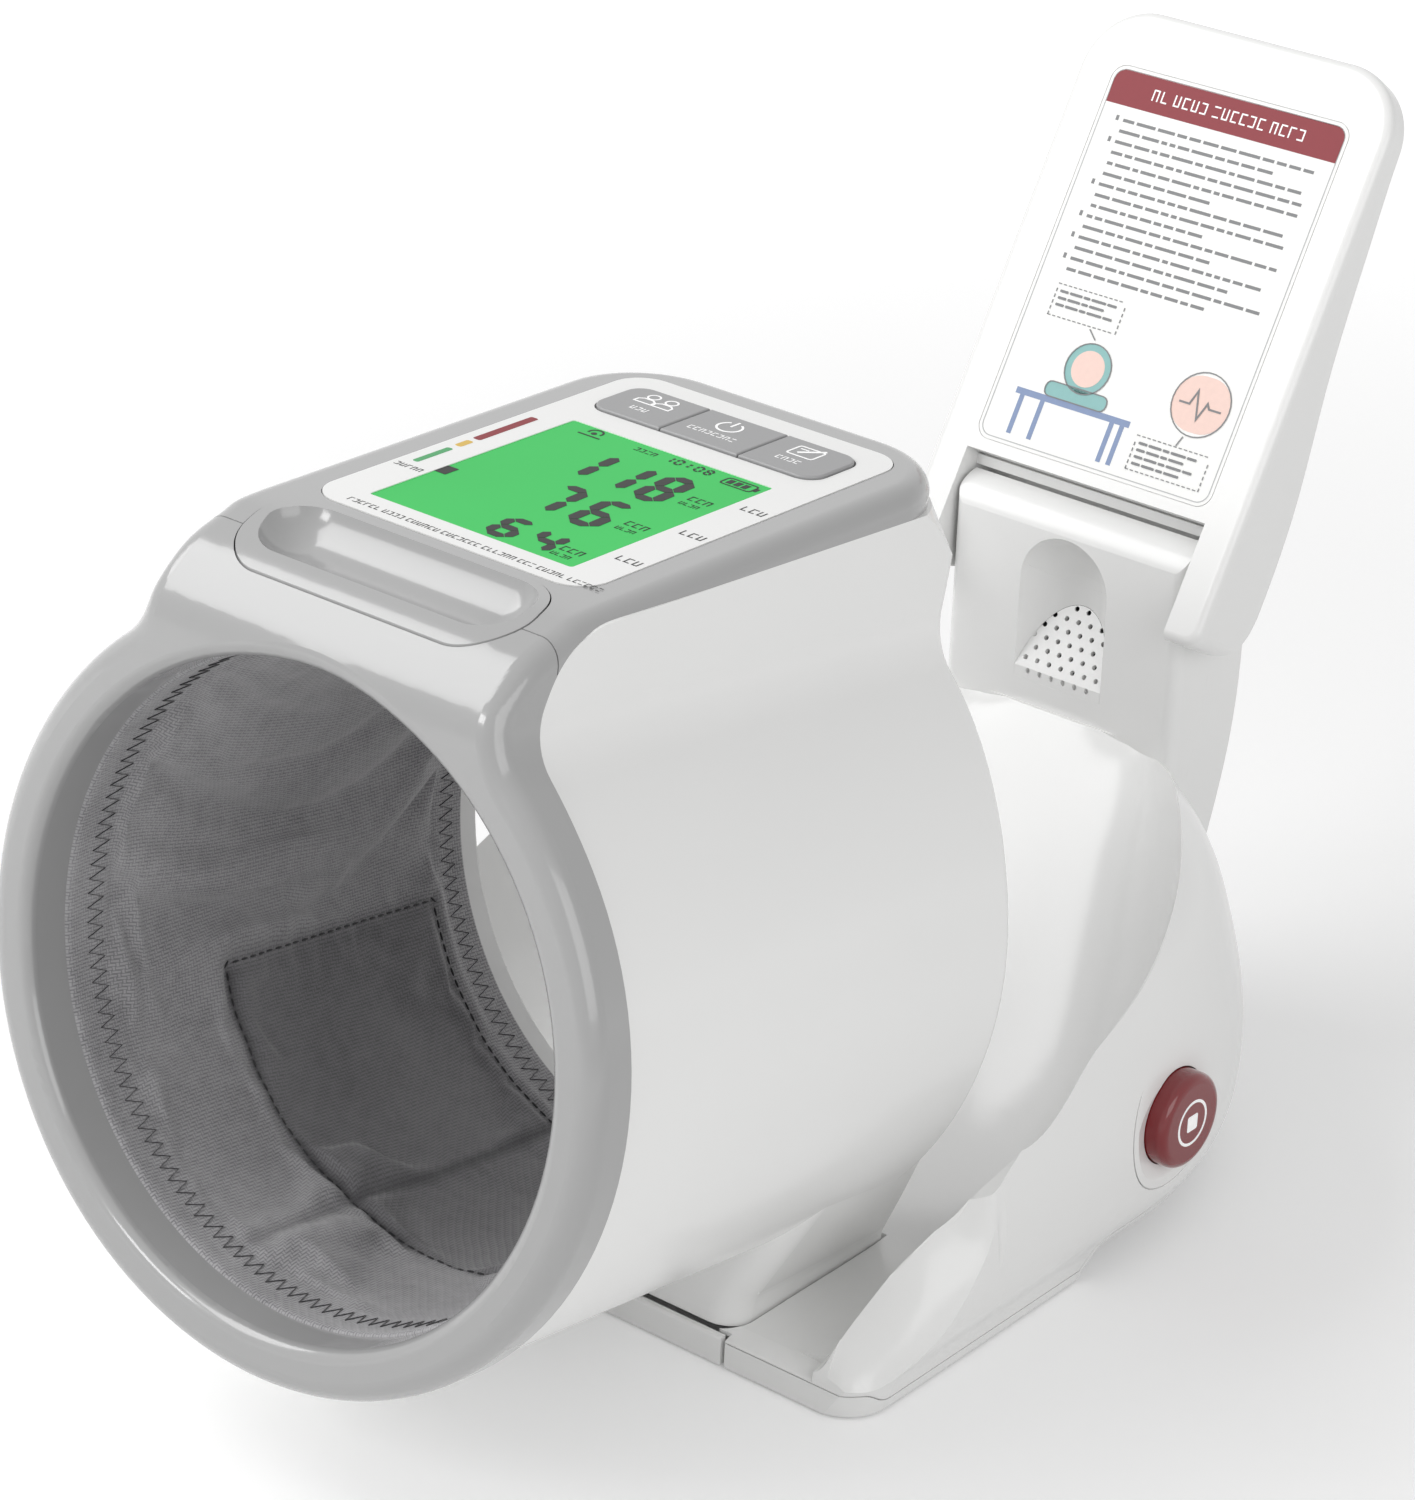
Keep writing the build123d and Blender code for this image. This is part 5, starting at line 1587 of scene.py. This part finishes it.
@dataclass
class Lid:
    """The fold-over lid with its instruction card.

    Positions on the card are millimetres right of its middle and above the hinge axis. The inks lie
    on one another, each at its own distance in front of that axis.
    """

    half: float = 34.1
    low: float = 15.2
    high: float = 112.4
    header: float = 9.7
    first_ink: float = 11.01
    second_ink: float = 11.07
    top_ink: float = 11.13
    border_inset: float = 0.9
    border_radius: float = 3.0
    line_pitch: float = 2.76
    machine_middle: Point = (-10.5, 38.6)
    machine_radius: float = 6.4
    cushion: tuple[float, float, float, float] = (-20.0, 29.6, -2.0, 33.4)
    dash_pitch: float = 1.5
    dash: float = 0.9
    dash_width: float = 0.25

    def header_band(self) -> None:
        """Prints the coloured head of the card, the title strokes on it and the card's border."""
        band = Print(LID_FACE, self.first_ink)
        edge = self.half - self.border_inset
        top = self.high - self.border_inset
        foot = self.high - self.header
        outline = rounded(-edge, foot - 6, edge, top, self.border_radius)
        band.area([(x, max(y, foot)) for x, y in outline])
        band.finished("card_header", RED_INK, "lid")
        title = Print(LID_FACE, self.second_ink)
        title.scrawl(-21.0, foot + 2.9, (2, 4, 6, 4), 2.5, 41)
        title.finished("card_title", WHITE_INK_PAINTED_GLOW, "lid")
        border = Print(LID_FACE, self.first_ink)
        outline = rounded(-edge, self.low + self.border_inset, edge, top, self.border_radius)
        border.line(outline, 0.28, closed=True)
        border.finished("card_border", SOFT_INK, "lid")

    def paragraphs(self) -> None:
        """Prints fifteen lines of short bars in six paragraphs."""
        sheet = Print(LID_FACE, self.first_ink)
        y, seed = self.high - 13.6, 7
        for count in (2, 4, 3, 2, 2, 2):
            for row in range(count):
                x = -self.half + (5.4 if row == 0 else 7.6)
                end = self.half - 5.5 if row < count - 1 else self.half - 16.0 - 3.0 * (seed % 5)
                if row == 0:
                    sheet.area(rectangle(x, y, x + 0.8, y + 1.3))
                    x += 2.2
                while x < end - 2:
                    seed = (seed * 73 + 41) % 997
                    length = 1.6 + (seed % 9) * 0.55
                    sheet.area(rectangle(x, y, min(x + length, end), y + 0.8))
                    x += length + 0.8
                y -= self.line_pitch
        sheet.finished("card_lines", GREY_INK, "lid")

    def drawing(self) -> None:
        """Prints a plain diagram: the machine on a table, a round detail and two notes."""
        table = Print(LID_FACE, self.first_ink)
        table.area(rectangle(-27.5, 28.0, 6.0, 29.6))
        for x in (-26.0, -20.0, 0.5, 3.5):
            table.area(rectangle(x, 18.0, x + 1.3, 28.0))
        table.finished("card_table", BLUE_INK, "lid")
        machine = Print(LID_FACE, self.first_ink)
        machine.area(rounded(*self.cushion, 1.6, 3))
        machine.area(circle(*self.machine_middle, self.machine_radius))
        machine.finished("card_machine", TEAL_INK, "lid")
        opening = Print(LID_FACE, self.second_ink)
        opening.area(circle(*self.machine_middle, 4.6))
        opening.finished("card_opening", BLUSH_INK, "lid")
        detail = Print(LID_FACE, self.first_ink)
        detail.area(rounded(14.5, 31.5, 30.5, 45.5, 6.9, 8))
        detail.finished("card_detail", BLUSH_INK, "lid")
        lines = Print(LID_FACE, self.top_ink)
        lines.arc(22.5, 38.5, 8.0, 0, 360, 0.3)
        pulse = [
            (16.5, 38.0), (19.4, 38.0), (20.6, 41.6), (22.6, 34.8), (24.2, 39.2), (25.0, 38.0),
            (28.4, 38.0),
        ]
        lines.line(pulse, 0.5)
        lines.arc(*self.machine_middle, self.machine_radius, 0, 360, 0.3)
        lines.line(rounded(*self.cushion, 1.6, 3), 0.3, closed=True)
        for box in ((-27.0, 48.5, -7.0, 56.5), (9.0, 18.5, 30.0, 27.0)):
            self.dashed_box(lines, *box)
        lines.line([(-14.0, 48.0), (-11.5, 45.8)], 0.3)
        lines.line([(20.0, 27.4), (21.0, 30.0)], 0.3)
        lines.finished("card_outlines", GREY_INK, "lid")

    def dashed_box(self, sheet: Print, x0: float, y0: float, x1: float, y1: float) -> None:
        """Prints a dashed frame with a few short bars in it.

        Args:
            sheet: The print that it goes on.
            x0: Left edge.
            y0: Lower edge.
            x1: Right edge.
            y1: Upper edge.
        """
        step, dash, pen = self.dash_pitch, self.dash, self.dash_width
        for i in range(int((x1 - x0) / step)):
            for y in (y0, y1):
                sheet.area(rectangle(x0 + i * step, y, x0 + i * step + dash, y + pen))
        for i in range(int((y1 - y0) / step)):
            for x in (x0, x1):
                sheet.area(rectangle(x, y0 + i * step, x + pen, y0 + i * step + dash))
        rows = int((y1 - y0 - 1.6) / 1.7)
        for row in range(rows):
            y = y1 - 1.9 - row * 1.7
            sheet.bars(x0 + 1.2, y, (2.4, 3.6, 1.8, 4.2, 2.6)[: 5 - row % 2], 0.65, 0.5)

    def build(self) -> None:
        """Dresses the lid and prints its card."""
        dress(WHITE_ABS, "lid_front_frame", "lid_rear_shell")
        dress(CARD, "instruction_card")
        self.header_band()
        self.paragraphs()
        self.drawing()


@dataclass(frozen=True)
class Lamp:
    """One soft rectangular lamp that faces its aim. Lengths are metres, and power is watts."""

    name: str
    place: tuple[float, float, float]
    size: tuple[float, float]
    power: float
    aim: tuple[float, float, float] = (0, 0, 0.1)

    def build(self) -> None:
        """Adds the lamp to the scene."""
        data = bpy.data.lights.new(self.name, "AREA")
        data.shape = "RECTANGLE"
        data.size, data.size_y = self.size
        data.energy = self.power
        lamp = bpy.data.objects.new(self.name, data)
        bpy.context.scene.collection.objects.link(lamp)
        lamp.location = self.place
        way = Vector(self.aim) - Vector(self.place)
        lamp.rotation_euler = way.to_track_quat("-Z", "Y").to_euler()


@dataclass
class Studio:
    """A pale floor, soft lamps and the camera. Lengths are metres."""

    location: tuple[float, float, float] = (0.61820, -0.78755, 0.59907)
    right: tuple[float, float, float] = (0.77445, 0.63155, 0.03700)
    up: tuple[float, float, float] = (-0.29808, 0.31268, 0.90188)
    back: tuple[float, float, float] = (0.55801, -0.70949, 0.43041)
    lens: float = 119.61
    floor_reach: float = 8.0
    shadow_zone: tuple[float, float] = (0.3, 1.2)
    floor_glow: tuple[float, float] = (0.17, 0.56)
    room_light: tuple[float, float] = (0.5, 1.0)
    lamps: tuple[Lamp, ...] = (
        Lamp("key", (-0.77, -0.43, 1.04), (0.9, 0.7), 7.4),
        Lamp("right", (1.3, -0.5, 0.75), (1.1, 0.9), 5.4),
        Lamp("front", (-0.4, -1.3, 0.9), (0.5, 0.4), 4.5),
    )

    def camera(self) -> None:
        """Places the camera."""
        data = bpy.data.cameras.new("camera")
        data.lens = self.lens
        data.sensor_width = 36.0
        data.clip_start, data.clip_end = 0.05, 50.0
        camera = bpy.data.objects.new("camera", data)
        bpy.context.scene.collection.objects.link(camera)
        turn = Matrix((self.right, self.up, self.back)).transposed().to_4x4()
        camera.matrix_world = Matrix.Translation(self.location) @ turn
        bpy.context.scene.camera = camera

    def seen_white(self, tree: bpy.types.NodeTree) -> bpy.types.NodeSocket:
        """Picks the rays of the camera, of reflections and through clear parts.

        Args:
            tree: The node tree.

        Returns:
            1 for those rays, and 0 for the rest.
        """
        path = add_node(tree, "ShaderNodeLightPath")
        either = add_node(
            tree, "ShaderNodeMath",
            {0: path.outputs["Is Camera Ray"], 1: path.outputs["Is Glossy Ray"]},
            operation="MAXIMUM",
        )
        return add_node(
            tree, "ShaderNodeMath",
            {0: either.outputs[0], 1: path.outputs["Is Transmission Ray"]}, operation="MAXIMUM",
        ).outputs[0]

    def floor(self) -> None:
        """Lays the pale floor, which keeps the shadow and glows more outside the shadow's zone."""
        mesh = bpy.data.meshes.new("floor")
        reach = self.floor_reach
        mesh.from_pydata(
            [(-reach, -reach, 0), (reach, -reach, 0), (reach, reach, 0), (-reach, reach, 0)],
            [], [(0, 1, 2, 3)],
        )
        floor = bpy.data.objects.new("floor", mesh)
        bpy.context.scene.collection.objects.link(floor)
        material, tree, shader = new_shader("pale floor")
        where = add_node(tree, "ShaderNodeTexCoord").outputs["Object"]
        away = add_node(tree, "ShaderNodeVectorMath", {0: where}, operation="LENGTH")
        lift = add_node(
            tree, "ShaderNodeMapRange",
            {
                "Value": away.outputs["Value"],
                "From Min": self.shadow_zone[0], "From Max": self.shadow_zone[1],
                "To Min": self.floor_glow[0], "To Max": self.floor_glow[1],
            },
            interpolation_type="SMOOTHSTEP",
        )
        glow = add_node(
            tree, "ShaderNodeMath",
            {0: self.seen_white(tree), 1: lift.outputs["Result"]}, operation="MULTIPLY",
        )
        feed(tree, shader, {
            "Base Color": linear("#f2f2f2"), "Roughness": 0.9, "Specular IOR Level": 0.1,
            "Emission Color": (1, 1, 1, 1), "Emission Strength": glow.outputs[0],
        })
        mesh.materials.append(material)

    def world(self) -> None:
        """Fills the room with even light; the camera, reflections and clear parts see it white."""
        world = bpy.data.worlds.new("studio")
        world.use_nodes = True
        tree = world.node_tree
        tree.nodes.clear()
        dim, white = self.room_light
        strength = add_node(
            tree, "ShaderNodeMapRange",
            {"Value": self.seen_white(tree), "To Min": dim, "To Max": white},
        )
        light = add_node(
            tree, "ShaderNodeBackground",
            {"Color": (1, 1, 1, 1), "Strength": strength.outputs["Result"]},
        )
        add_node(tree, "ShaderNodeOutputWorld", {"Surface": light.outputs["Background"]})
        bpy.context.scene.world = world

    def build(self) -> None:
        """Sets up the whole studio."""
        self.camera()
        self.floor()
        self.world()
        for lamp in self.lamps:
            lamp.build()
        bpy.context.scene.view_settings.view_transform = "Standard"


def main() -> None:
    """Builds the studio and the sub-assemblies in order."""
    logging.basicConfig(level=logging.INFO, format="%(message)s")
    studio = Studio()
    studio.build()
    for assembly in (DisplayHead(), Housing(), StopControl(), Lid(), CuffLiner()):
        LOG.info("building %s", type(assembly).__name__)
        assembly.build()


if __name__ == "__main__":
    main()
